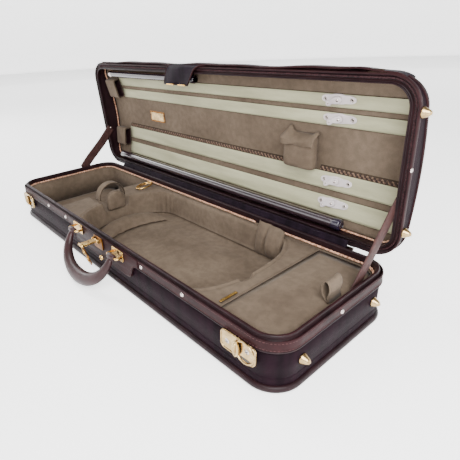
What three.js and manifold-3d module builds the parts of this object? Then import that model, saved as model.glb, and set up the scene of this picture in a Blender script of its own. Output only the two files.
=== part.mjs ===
// An oblong violin case, open on its hinge, in millimetres. +Z is up, +X runs along the length to the
// accessory compartment, and -Y is the front with the handle. The origin is the middle of the underside.
import * as THREE from "three";
import { mergeVertices } from "three/addons/utils/BufferGeometryUtils.js";
import Module from "manifold-3d";

const wasm = await Module();
wasm.setup();

// ---- Driving dimensions ----
const LENGTH = 790; // over the leather band
const WIDTH = 248;
const CORNER = 40; // plan radius of the four corners
const PARTING = 75; // height of the joint between base and lid
const GAP = 0.4; // clearance between pieces that touch
const LID_OPEN = THREE.MathUtils.degToRad(86);

const BAND = { thick: 1.7, bottom: 60 };
const SHELL = { inset: 2.2, floor: 6 };
const LIP = { outer: 4.6, inner: 9.6, bottom: 58, top: 79 }; // leather rim that stands above the parting
const BEAD = { out: 2.4, height: 10 };
const INNER = LIP.inner; // from the outside to the lining
const HINGE = { y: WIDTH / 2 + 3.3, z: PARTING + 0.2, knuckle: 2.7, pin: 1.3, length: 660, leaf: 4.4 };

const LID = { inset: 1.5, wall: 7.5, roof: 48, curve: 0.0014, shoulder: 13, skin: 4 };
const LID_Z = PARTING + GAP; // underside of the closed lid
const RIM = { depth: 8, outerWall: 2, inner: 13, groove: 5.5, grooveTo: 11 };
const CEILING = LID.roof - LID.skin - 3; // depth of the velvet panel at the middle

const BED = { left: -214, right: 277, top: 62, floor: 15 };
const BAY = { left: -80, leftRadius: 75, right: 200, rightRadius: 50, half: 106 };
const BOUT_PAD = { front: -84, half: 90, top: 35 }; // crescent cushion at the bay's rounded left end
const NECK = { x: -158, half: 22, channel: 30, channelFloor: 40, padTop: 83, padThick: 17 };
const SCROLL = { right: -217, top: 16 };
const BASE_ROPE = { radius: 1.7, z: 68, gapLeft: 150, gapRight: 200 };
const POCKET_RING = { x: -172, y: 85, across: 14, along: 22, wire: 3, lean: 0.12 };
const NECK_STRAP = { x: -178, width: 18, thick: 4, half: 32, top: 97 };
const COMPARTMENT = { left: 281, bottom: 63, thick: 5, inset: 15.8 };
const PULL_LOOP = { x: 371, y: 7, half: 6, tall: 30, width: 28, thick: 1.8 };

const HANDLE = { reach: 71, drop: 57, hang: THREE.MathUtils.degToRad(32), y: -139, z: 66, thick: 12 };
const PANEL = { left: -104, right: 112, bottom: 33, thick: 2 };
const LATCH = { x: 338, z: 48, length: 58, width: 31 };
const HASP = { x: 6, z: 69, pivot: 5.5, out: 27, width: 13, drop: 44, lean: 0.27 };
const LOCK = { length: 30, width: 22, z: 63, ears: 9 };
const KEYHOLE = { z: 33, radius: 4.5, out: 3 };
const STUD = { y: 78, z: 38, lidY: 80, lidDepth: 10, radius: 7, out: 11 };

const LID_ROPE = { radius: 1.6, off: 1.5, below: 5.4 }; // off the wall, below the panel
const SPINNER = { x: 272, rows: [-82.5, -54, 43.5, 78.5], length: 54, width: 15, thick: 2.4 };
const LEVER = { reach: 17, width: 8, droop: 0.35, thick: 3.8 }; // droop: how far it has swung at rest
const TUBE = { y: 102, depth: 13, radius: 8.5, left: -346, right: 286, cap: 14 };
const SHORT_TUBE = { y: -98, depth: 17, radius: 7.2, left: -344, right: -24 };
const TIP_POCKET = { x: -349, upperY: -65, lowerY: 58, half: 22, deep: 20 };
const POUCH = { x: 208, y: 4, half: 31, tall: 29, deep: 21, back: 1.4 };
const NAMEPLATE = { x: -200, y: -5, length: 56, width: 24, thick: 1.4 };
const CATCH = { half: 13, hookHalf: 8, low: 1.4, high: 7.6, out: 4.6 };
const FLAP = { depth: 3, thick: 2.2, half: 372, off: 5.4 }; // off: clearance to the wall behind it
const TONGUE = { left: -88, right: 30, reach: 34, thick: 2 };
const STAY = { x: 380.4, width: 19, thick: 1.4, y: 44, z: 56, lidY: 36, lidDepth: 9 };
const GUSSET = { short: 10, foot: 1, rise: 11, lean: 4.2, thick: 1.2 };
const LEFT_STAY = { x: 391.9, y: 52, z: 86.8 }; // the left one comes up outside the lip

// ---- Materials ----
function finish(color, roughness, metalness = 0) {
  return new THREE.MeshStandardMaterial({ color, roughness, metalness });
}

const canvas = finish(0x33293a, 0.85);
const leather = finish(0x5c3b3f, 0.5);
const velvet = finish(0x6f6152, 0.95);
const cord = finish(0xc9a48a, 0.7);
const brass = finish(0xd9b25c, 0.3, 1);
const glossTube = finish(0x2c1c2e, 0.15);
const enamel = finish(0xe6dcdc, 0.4);
const ribbon = finish(0x6b4a44, 0.7);

// ---- Shapes ----
function roundedRect(length, width, radius, Kind = THREE.Shape) {
  const x = length / 2 - radius;
  const y = width / 2 - radius;
  const outline = new Kind();
  outline.absarc(x, y, radius, 0, Math.PI / 2);
  outline.absarc(-x, y, radius, Math.PI / 2, Math.PI);
  outline.absarc(-x, -y, radius, Math.PI, 1.5 * Math.PI);
  outline.absarc(x, -y, radius, 1.5 * Math.PI, 2 * Math.PI);
  outline.closePath();
  return outline;
}

const footprint = (inset, Kind) =>
  roundedRect(LENGTH - 2 * inset, WIDTH - 2 * inset, CORNER - inset, Kind);

// A vertical prism from z0 to z1, its edges eased by bevel.
function prism(shape, z0, z1, bevel = 0, curveSegments = 4) {
  const geometry = new THREE.ExtrudeGeometry(shape, {
    depth: z1 - z0 - 2 * bevel,
    bevelEnabled: bevel > 0,
    bevelThickness: bevel,
    bevelSize: bevel,
    bevelOffset: -bevel,
    bevelSegments: 1,
    curveSegments,
  });
  return geometry.translate(0, 0, z0 + bevel);
}

function ring(outer, inner, z0, z1, bevel = 0) {
  const shape = footprint(outer);
  shape.holes.push(footprint(inner, THREE.Path));
  return prism(shape, z0, z1, bevel);
}

// A profile drawn in (y, z), extruded from x0 to x1.
function alongX(shape, x0, x1, bevel = 0, curveSegments = 8) {
  const turn = new THREE.Matrix4().set(0, 0, 1, 0, 1, 0, 0, 0, 0, 1, 0, 0, 0, 0, 0, 1);
  return prism(shape, x0, x1, bevel, curveSegments).applyMatrix4(turn);
}

// A profile drawn in (x, z), extruded from y0 to y1.
function alongY(shape, y0, y1, bevel = 0, curveSegments = 6) {
  return prism(shape, -y1, -y0, bevel, curveSegments).rotateX(Math.PI / 2);
}

function box(x0, x1, y0, y1, z0, z1) {
  const geometry = new THREE.BoxGeometry(Math.abs(x1 - x0), Math.abs(y1 - y0), Math.abs(z1 - z0));
  return geometry.translate((x0 + x1) / 2, (y0 + y1) / 2, (z0 + z1) / 2);
}

function rod(x0, x1, y, z, radius, sides = 12) {
  const geometry = new THREE.CylinderGeometry(radius, radius, x1 - x0, sides).rotateZ(Math.PI / 2);
  return geometry.translate((x0 + x1) / 2, y, z);
}

// A skin over rings of points: closed on itself, or capped at both ends.
function loft(rings, closed) {
  const sides = rings[0].length;
  const points = rings.flat();
  const index = [];
  const spans = closed ? rings.length : rings.length - 1;
  for (let i = 0; i < spans; i++) {
    const next = (i + 1) % rings.length;
    for (let j = 0; j < sides; j++) {
      const k = (j + 1) % sides;
      const [a, b, c, d] = [i * sides + j, i * sides + k, next * sides + k, next * sides + j];
      index.push(a, b, c, a, c, d);
    }
  }
  if (!closed) {
    const last = (rings.length - 1) * sides;
    for (let j = 1; j < sides - 1; j++) {
      index.push(0, j + 1, j);
      index.push(last, last + j, last + j + 1);
    }
  }
  const geometry = new THREE.BufferGeometry().setFromPoints(points);
  return geometry.setIndex(index);
}

// Points round the case's outline at one inset, with their outward directions.
function outlinePoints(inset) {
  return footprint(inset)
    .getPoints(4)
    .slice(0, -1)
    .filter((p, i, all) => i === 0 || p.distanceTo(all[i - 1]) > 0.01);
}

// A moulding that follows the outline: section is a list of [inset, height], heightAt bends it in z.
function moulding(section, heightAt = () => 0) {
  const loops = section.map(([inset]) => outlinePoints(inset));
  const rings = loops[0].map((_, i) =>
    section.map(([, z], j) => new THREE.Vector3(loops[j][i].x, loops[j][i].y, z + heightAt(loops[j][i].y))),
  );
  return loft(rings, true);
}

// Six-sided section of a rope whose middle lies at one inset and height.
function ropeSection(inset, z, radius) {
  return [0, 1, 2, 3, 4, 5].map((i) => {
    const angle = (Math.PI * i) / 3;
    return [inset + radius * Math.cos(angle), z + radius * Math.sin(angle)];
  });
}

// ---- Booleans ----
function toSolid(geometry) {
  let flat = geometry.clone();
  flat.deleteAttribute("normal");
  flat.deleteAttribute("uv");
  flat = mergeVertices(flat, 1e-4);
  const vertProperties = new Float32Array(flat.attributes.position.array);
  const triVerts = new Uint32Array(flat.index.array);
  return new wasm.Manifold(new wasm.Mesh({ numProp: 3, vertProperties, triVerts }));
}

function fromSolid(solid) {
  const { vertProperties, triVerts } = solid.getMesh();
  const geometry = new THREE.BufferGeometry();
  geometry.setAttribute("position", new THREE.BufferAttribute(vertProperties, 3));
  geometry.setIndex(new THREE.BufferAttribute(triVerts, 1));
  return geometry.toNonIndexed();
}

const join = (first, ...rest) => fromSolid(rest.reduce((all, g) => all.add(toSolid(g)), toSolid(first)));
const cut = (first, ...rest) => fromSolid(rest.reduce((all, g) => all.subtract(toSolid(g)), toSolid(first)));
const common = (first, second) => fromSolid(toSolid(first).intersect(toSolid(second)));

function add(parent, name, geometry, material) {
  geometry.computeVertexNormals();
  const mesh = new THREE.Mesh(geometry, material);
  mesh.name = name;
  parent.add(mesh);
  return mesh;
}

// ---- Base ----
const group = new THREE.Group();
const base = new THREE.Group();
group.add(base);

function baseShell() {
  const outside = prism(footprint(SHELL.inset), 0, LIP.bottom - GAP);
  const inside = prism(footprint(INNER), SHELL.floor, LIP.bottom + GAP);
  return cut(outside, inside);
}

// Half-round leather piping round the foot of the walls.
function baseBead() {
  const section = [];
  for (let i = 0; i <= 5; i++) {
    const angle = (Math.PI * i) / 5;
    const out = (SHELL.inset + BEAD.out) * Math.sin(angle);
    section.push([SHELL.inset - GAP - out, 0.5 * BEAD.height * (1 + Math.cos(angle))]);
  }
  return moulding(section);
}

function frontGap() {
  return box(PANEL.left - GAP, PANEL.right + GAP, -WIDTH, -WIDTH / 2 + INNER, 0, PARTING + 1);
}

function baseBand() {
  const band = ring(0, BAND.thick, BAND.bottom, PARTING, 0.4);
  return cut(band, frontGap());
}

function baseRim() {
  const foot = ring(SHELL.inset, LIP.inner, LIP.bottom, PARTING - 2);
  const lip = ring(LIP.outer, LIP.inner, LIP.bottom, LIP.top, 0.8);
  return join(foot, lip);
}

// The rope stops short behind the lower bout, where the lining has a flap.
function baseRope() {
  const { radius, z, gapLeft, gapRight } = BASE_ROPE;
  const rope = moulding(ropeSection(INNER + GAP + radius, z, radius));
  return cut(rope, box(gapLeft, gapRight, WIDTH / 4, WIDTH / 2, z - 2 * radius, z + 2 * radius));
}

function frontPanel() {
  const [half, radius] = [(PANEL.right - PANEL.left) / 2, 14];
  const height = PARTING - PANEL.bottom;
  const shape = roundedRect(2 * half, height, radius);
  const face = -WIDTH / 2 + SHELL.inset - GAP;
  const panel = alongY(shape, face - PANEL.thick - SHELL.inset + GAP, face);
  return panel.translate((PANEL.left + PANEL.right) / 2, 0, PANEL.bottom + height / 2);
}

function bayOutline(shrink, Kind = THREE.Shape) {
  const half = BAY.half - shrink;
  const outline = new Kind();
  outline.absellipse(BAY.right, 0, BAY.rightRadius - shrink, half, -Math.PI / 2, Math.PI / 2);
  outline.absellipse(BAY.left, 0, BAY.leftRadius - shrink, half, Math.PI / 2, 1.5 * Math.PI);
  outline.closePath();
  return outline;
}

function violinBed() {
  const half = WIDTH / 2 - INNER - GAP;
  const block = box(BED.left, BED.right, -half, half, SHELL.floor + GAP, BED.top);
  const bay = prism(bayOutline(0), 0, 100, 0, 10);
  const channel = box(BED.left - 1, -100, -NECK.channel, NECK.channel, NECK.channelFloor, 100);
  return cut(block, bay, channel);
}

function floorPad() {
  return prism(bayOutline(1), SHELL.floor + GAP, BED.floor, 1, 8);
}

// Crescent cushion under the violin's upper bout.
function upperBoutPad() {
  const { front, half, top } = BOUT_PAD;
  const cushion = prism(bayOutline(1.2), BED.floor + GAP, top, 2, 8);
  return common(cushion, box(BED.left, front, -half, half, 0, top));
}

function archShape(half, bottom, top) {
  const spring = top - half;
  const shape = new THREE.Shape();
  shape.moveTo(-half, bottom);
  shape.lineTo(half, bottom);
  shape.lineTo(half, spring);
  shape.absarc(0, spring, half, 0, Math.PI);
  shape.closePath();
  return shape;
}

function neckPad() {
  const shape = archShape(NECK.half, NECK.channelFloor + GAP, NECK.padTop);
  return alongX(shape, NECK.x - NECK.padThick / 2, NECK.x + NECK.padThick / 2, 3, 5);
}

function neckStrap() {
  const [half, top] = [NECK_STRAP.half, NECK_STRAP.top];
  const [x0, x1] = [NECK_STRAP.x - NECK_STRAP.width / 2, NECK_STRAP.x + NECK_STRAP.width / 2];
  const outside = alongX(archShape(half, BED.top + GAP, top), x0, x1, 0, 6);
  const inside = alongX(archShape(half - NECK_STRAP.thick, 0, top - NECK_STRAP.thick), x0 - 1, x1 + 1, 0, 6);
  return cut(outside, inside);
}

function scrollPad() {
  const pad = prism(footprint(INNER + 1.4), SHELL.floor + GAP, SCROLL.top, 2);
  return common(pad, box(-LENGTH / 2, SCROLL.right, -WIDTH / 2, WIDTH / 2, 0, PARTING));
}

function pocketRing() {
  const { x, y, across, along, wire, lean } = POCKET_RING;
  const bezel = new THREE.Shape();
  bezel.absellipse(0, 0, across, along, 0, 2 * Math.PI);
  const hole = new THREE.Path();
  hole.absellipse(0, 0, across - wire, along - wire, 0, 2 * Math.PI);
  bezel.holes.push(hole);
  return prism(bezel, 0, 5, 0.6, 10).rotateX(lean).translate(x, y, BED.top + 3);
}

function buildBase() {
  add(base, "base_shell", baseShell(), canvas);
  add(base, "base_piping", baseBead(), leather);
  add(base, "base_band", baseBand(), leather);
  add(base, "base_rim", baseRim(), leather);
  add(base, "base_rope", baseRope(), cord);
  add(base, "front_panel", frontPanel(), leather);
  add(base, "violin_bed", violinBed(), velvet);
  add(base, "floor_pad", floorPad(), velvet);
  add(base, "upper_bout_pad", upperBoutPad(), velvet);
  add(base, "neck_pad", neckPad(), velvet);
  add(base, "neck_strap", neckStrap(), velvet);
  add(base, "pocket_ring", pocketRing(), brass);
  add(base, "scroll_pad", scrollPad(), velvet);
}

// ---- Accessory compartment ----
function compartmentLid() {
  const { left, bottom, thick } = COMPARTMENT;
  const plan = prism(footprint(COMPARTMENT.inset), bottom, bottom + thick, 1);
  return common(plan, box(left, LENGTH / 2, -WIDTH / 2, WIDTH / 2, 0, PARTING));
}

// A folded tape that stands up as an inverted U.
function pullLoop() {
  const { x, y, half, tall, width, thick } = PULL_LOOP;
  const foot = COMPARTMENT.bottom + COMPARTMENT.thick + GAP;
  const outside = archShape(half, foot, foot + tall);
  const inside = archShape(half - thick, foot + thick, foot + tall - thick);
  const [near, far] = [y - width / 2, y + width / 2];
  return cut(alongY(outside, near, far, 0, 4), alongY(inside, near - 1, far + 1, 0, 4)).translate(x, 0, 0);
}

function buildCompartment() {
  add(base, "compartment_lid", compartmentLid(), velvet);
  add(base, "pull_loop", pullLoop(), velvet);
}

// ---- Front hardware ----
const FACE = -WIDTH / 2 - PANEL.thick; // front of the leather panel

function handleBracket(x) {
  const plate = alongY(roundedRect(34, 18, 3), FACE - GAP - 2, FACE - GAP, 0.4).translate(0, 0, HANDLE.z);
  const [out, bar] = [HANDLE.y + 2.2, 3.6];
  const sides = [-15.2, 15.2].map((side) =>
    box(side - bar / 2, side + bar / 2, out - 4.4, FACE - GAP - 1, HANDLE.z - bar / 2, HANDLE.z + bar / 2),
  );
  const crossbar = rod(-16, 16, HANDLE.y, HANDLE.z, 1.8, 10);
  return join(plate, ...sides, crossbar).translate(x, 0, 0);
}

// Padded grip: an arc that swells from its ends, with an eye round each crossbar.
function handle() {
  const rings = [];
  const [steps, sides] = [16, 10];
  for (let i = 0; i <= steps; i++) {
    const t = (Math.PI * i) / steps;
    const x = -HANDLE.reach * Math.cos(t);
    const drop = HANDLE.drop * Math.sin(t) ** 0.85;
    const radius = 5.5 + (HANDLE.thick - 5.5) * Math.sin(t) ** 0.7;
    const out = new THREE.Vector2(-HANDLE.reach * Math.cos(t) * 1.1, -HANDLE.drop * Math.sin(t)).normalize();
    const points = [];
    for (let j = 0; j < sides; j++) {
      const turn = (2 * Math.PI * j) / sides;
      const across = radius * Math.cos(turn);
      points.push(new THREE.Vector3(x + out.x * across, radius * Math.sin(turn), -drop + out.y * across - 3));
    }
    rings.push(points);
  }
  const eyes = [-1, 1].map((side) => rod(side * HANDLE.reach - 11, side * HANDLE.reach + 11, 0, 0, 5, 12));
  const holes = [-1, 1].map((side) => rod(side * HANDLE.reach - 20, side * HANDLE.reach + 20, 0, 0, 2.3, 12));
  return cut(join(loft(rings, false), ...eyes), ...holes);
}

// Two-lobed latch plate with an opening in each lobe.
function latchPlate() {
  const { length, width } = LATCH;
  const [back, front] = [FACE + 1.4, FACE - 1.2];
  const lobe = (x) => alongY(roundedRect(length * 0.56, width, 13), front, back).translate(x, 0, 0);
  const slot = (x, z) => box(x - 9, x + 9, FACE - 3, FACE + 3, z - 1.3, z + 1.3);
  const lobes = join(lobe(-length * 0.22), lobe(length * 0.22));
  const hub = new THREE.CylinderGeometry(3, 3, 3, 12).translate(0, FACE - 0.2, 0);
  return join(cut(lobes, slot(-13, 10.5), slot(13, -10.5)), hub);
}

function latchKnob() {
  return alongY(roundedRect(13, 25, 6), FACE - 6.4, FACE - 2.2, 0.8, 4);
}

function lockPlate() {
  const { length, width, z, ears } = LOCK;
  const plate = alongY(roundedRect(length, width, 3), FACE - GAP - 2, FACE - GAP, 0.4).translate(0, 0, z);
  const ear = (x) => box(x - 1.2, x + 1.2, FACE - HASP.pivot - 3, FACE - 1, HASP.z - 3, HASP.z + 3);
  const pin = rod(-ears - 0.5, ears + 0.5, FACE - HASP.pivot, HASP.z, 1.2, 8);
  return join(plate, ear(-ears), ear(ears), pin);
}

function haspArm() {
  const { width, out } = HASP;
  const bar = box(-width / 2, width / 2, -out, 0, -1.6, 1.6);
  const eye = rod(-width / 2, width / 2, 0, 0, 2.6, 12);
  const tip = rod(-width / 2, width / 2, -out, 0, 2.6, 12);
  const pinHole = rod(-width, width, 0, 0, 1.6, 10);
  const tipGap = box(-4, 4, -out - 4, -out + 4, -4, 4);
  const tipPin = rod(-5, 5, -out, 0, 1.1, 8);
  return join(cut(join(bar, eye, tip), pinHole, tipGap), tipPin);
}

function haspTongue() {
  const leaf = alongY(roundedRect(13, HASP.drop - 6, 5), -1, 1).translate(0, 0, -HASP.drop / 2 - 4);
  const neck = box(-3, 3, -1, 1, -12, 0);
  const eye = rod(-3, 3, 0, 0, 2.6, 12);
  return cut(join(leaf, neck, eye), rod(-5, 5, 0, 0, 1.5, 10));
}

function keyholeBoss() {
  const { z, radius, out } = KEYHOLE;
  const boss = new THREE.CylinderGeometry(radius, radius - 1, out, 14);
  return boss.translate(HASP.x, FACE - GAP - out / 2, z);
}

// Conical brass foot on a round base, pointing along +X.
function stud() {
  const { radius, out } = STUD;
  const profile = [[0, 0], [radius, 0], [radius, 1.5], [radius - 2, 3], [2.6, out - 1.5], [0, out]];
  const points = profile.map(([r, h]) => new THREE.Vector2(r, h));
  return new THREE.LatheGeometry(points, 14).rotateZ(-Math.PI / 2);
}

function buildHardware() {
  for (const [side, sign] of [["left", -1], ["right", 1]]) {
    add(base, `handle_bracket_${side}`, handleBracket(sign * HANDLE.reach), brass);
    const latch = add(base, `latch_plate_${side}`, latchPlate(), brass);
    latch.position.set(sign * LATCH.x, 0, LATCH.z);
    const knob = add(base, `latch_knob_${side}`, latchKnob(), brass);
    knob.position.set(sign * LATCH.x, 0, LATCH.z);
  }
  const grip = add(base, "handle", handle(), leather);
  grip.position.set(0, HANDLE.y, HANDLE.z);
  grip.rotation.x = -HANDLE.hang;
  add(base, "lock_plate", lockPlate(), brass).position.x = HASP.x;
  const arm = add(base, "hasp_arm", haspArm(), brass);
  arm.position.set(HASP.x, FACE - HASP.pivot, HASP.z);
  const tongue = add(base, "hasp_tongue", haspTongue(), brass);
  tongue.position.set(HASP.x, FACE - HASP.pivot - HASP.out, HASP.z);
  tongue.rotation.x = HASP.lean;
  add(base, "keyhole_boss", keyholeBoss(), brass);
  for (const [end, sign] of [["front", -1], ["back", 1]]) {
    const foot = add(base, `base_stud_${end}`, stud(), brass);
    foot.position.set(LENGTH / 2 - SHELL.inset + GAP, sign * STUD.y, STUD.z);
  }
}

// ---- Hinge ----
// Knuckles alternate along the pin; own says whether a leaf has the odd or the even ones.
function hingeLeaf(own, towards) {
  const { y, z, knuckle, pin, length, leaf } = HINGE;
  const count = 7;
  const pitch = length / count;
  const wall = WIDTH / 2 + GAP;
  const plate = box(-length / 2, length / 2, wall, wall + 1.2, z + towards * 3.6, z + towards * (3.6 + leaf));
  const pieces = [];
  for (let i = 0; i < count; i++) {
    if (i % 2 !== own) continue;
    const x0 = -length / 2 + i * pitch + 0.3;
    const x1 = x0 + pitch - 0.6;
    pieces.push(rod(x0, x1, y, z, knuckle, 10));
    pieces.push(box(x0, x1, wall, wall + 1.2, z, z + towards * 5));
  }
  return cut(join(plate, ...pieces), rod(-length, length, y, z, pin + 0.25, 10));
}

// Fabric strip in front of the hinge, from the rim of the base up to the rim of the lid.
function hingeGusset() {
  const { short, foot, rise, lean, thick } = GUSSET;
  const half = HINGE.length / 2 - short;
  const y = WIDTH / 2 - LIP.outer + foot;
  const shape = new THREE.Shape();
  shape.moveTo(y, PARTING + foot);
  shape.lineTo(y + thick, PARTING + foot / 2);
  shape.lineTo(y + lean - foot, PARTING + rise / 2);
  shape.lineTo(y + lean, PARTING + rise);
  shape.lineTo(y + lean - thick, PARTING + rise);
  shape.lineTo(y + lean - foot - thick, PARTING + rise / 2);
  shape.closePath();
  return alongX(shape, -half, half);
}

function buildHinge() {
  add(base, "hinge_leaf_base", hingeLeaf(0, -1), brass);
  add(base, "hinge_pin", rod(-HINGE.length / 2, HINGE.length / 2, HINGE.y, HINGE.z, HINGE.pin, 10), brass);
}

// ---- Lid, drawn closed and then swung about the hinge ----
const swing = new THREE.Group();
swing.position.set(0, HINGE.y, HINGE.z);
swing.rotation.x = -LID_OPEN;
const lid = new THREE.Group();
lid.position.set(0, -HINGE.y, -HINGE.z);
swing.add(lid);
group.add(swing);

// Half-rounded roof line of the lid at |y|: arched in the middle, then turned down over the shoulders.
function roofDepth(y, inset) {
  const half = WIDTH / 2 - LID.inset - inset;
  const flat = half - LID.shoulder;
  const roof = LID.roof - inset - LID.curve * y * y;
  const over = Math.max(0, Math.abs(y) - flat) / LID.shoulder;
  return roof - LID.shoulder * (1 - Math.sqrt(Math.max(0, 1 - over * over)));
}

// Loaf-shaped ring of points at x, made smaller by inset, its roof lowered by drop.
function loafRing(x, inset, drop) {
  const half = WIDTH / 2 - LID.inset - inset;
  const ring = [new THREE.Vector3(x, -half, 0), new THREE.Vector3(x, half, 0)];
  const shoulder = [0, 0.15, 0.5, 1].map((share) => half - LID.shoulder * share);
  const across = [...shoulder, 0.66 * half, 0.33 * half];
  const ys = [...across, 0, ...across.map((y) => -y).reverse()];
  for (const y of ys) ring.push(new THREE.Vector3(x, y, roofDepth(y, inset) - drop));
  return ring;
}

// The roof rounds over at both ends as it does along the sides.
function loaf(inset, wall) {
  const end = LENGTH / 2 - LID.inset - wall;
  const turns = [0, 1, 2, 3].map((i) => (Math.PI / 6) * i);
  const half = turns.map((a) => [end - LID.shoulder * (1 - Math.cos(a)), LID.shoulder * (1 - Math.sin(a))]);
  const stations = [...half.map(([x, drop]) => [-x, drop]), ...half.reverse()];
  return loft(stations.map(([x, drop]) => loafRing(x, inset, drop)), false);
}

function lidShell() {
  const outside = common(loaf(0, 0), prism(footprint(LID.inset), RIM.depth + GAP, LID.roof + 10));
  const hollow = common(loaf(LID.skin, LID.wall), prism(footprint(LID.inset + LID.wall), 0, LID.roof));
  return cut(outside, hollow).translate(0, 0, LID_Z);
}

// Thin welt on the wall where the roof's shoulder starts; it rises over the arched ends.
function lidPiping() {
  const welt = (y) => LID_Z + 31.3 - LID.curve * y * y;
  const section = [0, 1, 2, 3, 4].map((i) => {
    const angle = (Math.PI * i) / 4;
    return [LID.inset - GAP - 1.6 * Math.sin(angle), 2 * Math.cos(angle)];
  });
  return moulding(section, welt);
}

function lidRim() {
  const body = ring(LID.inset, RIM.inner, LID_Z, LID_Z + RIM.depth, 0.6);
  const from = LID.inset + RIM.outerWall;
  return cut(body, ring(from, RIM.grooveTo, LID_Z - 1, LID_Z + RIM.groove));
}

const ceilingAt = (y) => CEILING - LID.curve * y * y;

function lidPanel() {
  const half = WIDTH / 2 - LID.inset - LID.wall - GAP;
  const steps = 12;
  const under = [];
  const over = [];
  for (let i = 0; i <= steps; i++) {
    const y = half * (2 * (i / steps) - 1);
    under.push(new THREE.Vector2(y, ceilingAt(y)));
    over.unshift(new THREE.Vector2(y, ceilingAt(y) + 2));
  }
  const sheet = alongX(new THREE.Shape([...under, ...over]), -LENGTH / 2, LENGTH / 2);
  const plan = prism(footprint(LID.inset + LID.wall + GAP), 0, LID.roof);
  return common(common(sheet, loaf(LID.skin + GAP, LID.wall + GAP)), plan).translate(0, 0, LID_Z);
}

// Twisted rope along the foot of the velvet panel.
function lidRope() {
  const { radius, off, below } = LID_ROPE;
  return moulding(ropeSection(LID.inset + LID.wall + off + radius, LID_Z - below, radius), ceilingAt);
}

// A group lying on the arched ceiling at (x, y), its +Z away from the opening.
function onCeiling(x, y) {
  const spot = new THREE.Group();
  spot.position.set(x, y, LID_Z + ceilingAt(y) - GAP);
  spot.rotation.x = Math.atan(-2 * LID.curve * y);
  lid.add(spot);
  return spot;
}

function spinnerPlate() {
  const { length, width, thick } = SPINNER;
  const shape = roundedRect(length, width, width / 2);
  for (const side of [-1, 1]) {
    const hole = new THREE.Path();
    hole.absarc(side * (length / 2 - 6), 0, 1.8, 0, 2 * Math.PI);
    shape.holes.push(hole);
  }
  const post = new THREE.CylinderGeometry(2.2, 2.2, 5, 12).rotateX(Math.PI / 2).translate(0, 0, -thick - 2);
  return join(prism(shape, -thick, 0, 0, 3), post);
}

function spinnerLever() {
  const { reach, width, droop } = LEVER;
  const top = -SPINNER.thick - GAP;
  const arm = roundedRect(reach + 5, width, width / 2);
  const body = prism(arm, top - LEVER.thick, top, 0.6, 3).translate(-reach / 2, 0, 0);
  const hole = new THREE.CylinderGeometry(2.5, 2.5, 20, 12).rotateX(Math.PI / 2).translate(0, 0, top);
  return cut(body, hole).rotateZ(-droop);
}

// Stiff pocket covered with velvet that takes the tips of two bows.
function bowTipPocket() {
  const { half, deep } = TIP_POCKET;
  const outside = box(-21, 21, -half, half, -deep, -0.8);
  const mouth = box(-17, 30, 3 - half, half - 3, 3 - deep, -3.2);
  return cut(outside, mouth);
}

function nameplate() {
  const { length, width, thick } = NAMEPLATE;
  return prism(roundedRect(length, width, 1), -thick - 0.2, -0.2, 0.3, 2);
}

// Soft bag, deepest along its lower edge.
function pouch() {
  const { half, tall, deep, back } = POUCH;
  const shape = new THREE.Shape();
  shape.moveTo(-tall, -back);
  shape.lineTo(tall, -back);
  shape.lineTo(0.86 * tall, -0.8 * deep);
  shape.quadraticCurveTo(0.76 * tall, -deep, 0.55 * tall, -deep);
  shape.lineTo(-0.62 * tall, -deep);
  shape.quadraticCurveTo(-0.86 * tall, -deep, -0.93 * tall, -0.67 * deep);
  shape.closePath();
  return alongX(shape, -half, half, 2, 2);
}

function stringTube() {
  const { y, depth, radius, left, right } = TUBE;
  const bore = rod(left + 3, right + 9, y, LID_Z + depth, radius - 1.5, 16);
  return cut(rod(left, right, y, LID_Z + depth, radius, 16), bore);
}

function shortTube() {
  const { y, depth, radius, left, right } = SHORT_TUBE;
  return rod(left, right, y, LID_Z + depth, radius, 14);
}

function stringTubeCap() {
  const { y, depth, radius, right, cap } = TUBE;
  const z = LID_Z + depth;
  const head = rod(right + GAP, right + cap, y, z, radius + 0.8, 16);
  return join(head, rod(right - 12, right + 2, y, z, radius - 1.9, 16));
}

function lidCatch(x) {
  const wall = -WIDTH / 2 + LID.inset - GAP;
  const { half, hookHalf, low, high, out } = CATCH;
  const plate = box(x - half, x + half, wall - low, wall, LID_Z + low, LID_Z + high);
  const hook = box(x - hookHalf, x + hookHalf, wall - out, wall - 1, LID_Z + 2, LID_Z + 4);
  return join(plate, hook);
}

// The flap lies folded back: up the front wall from its stitched edge, then over the roof's shoulder.
function weatherFlap() {
  const { depth, thick, half, off } = FLAP;
  const [flat, crown] = [WIDTH / 2 - LID.inset - LID.shoulder, LID.roof - LID.curve * (WIDTH / 2) ** 2];
  const springing = crown - LID.shoulder;
  const over = (out) => [0, 1, 2, 3, 4, 5].map((i) => {
    const angle = (Math.PI * i) / 10;
    const [y, z] = [flat + (LID.shoulder + out) * Math.cos(angle), (LID.shoulder + out) * Math.sin(angle)];
    return new THREE.Vector2(-y, springing + z + (LID.curve * (WIDTH / 2) ** 2 * i) / 25);
  });
  const outside = [new THREE.Vector2(-flat - LID.shoulder - off - thick, depth), ...over(off + thick)];
  const inside = [new THREE.Vector2(-flat - LID.shoulder - off, depth), ...over(off)];
  return alongX(new THREE.Shape([...outside, ...inside.reverse()]), -half, half).translate(0, 0, LID_Z);
}

// Tab that turns over the edge and hangs in front of the opening.
function flapTongue() {
  const wall = -WIDTH / 2 + LID.inset - GAP;
  const [out, t] = [wall - 1.6, TONGUE.thick];
  const shape = new THREE.Shape();
  shape.moveTo(out, 6);
  shape.lineTo(out - t, 6);
  shape.lineTo(out - t, -4 - t);
  shape.lineTo(out + TONGUE.reach, -4 - t);
  shape.lineTo(out + TONGUE.reach, -4);
  shape.lineTo(out, -4);
  shape.closePath();
  return alongX(shape, TONGUE.left, TONGUE.right).translate(0, 0, LID_Z);
}

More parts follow.
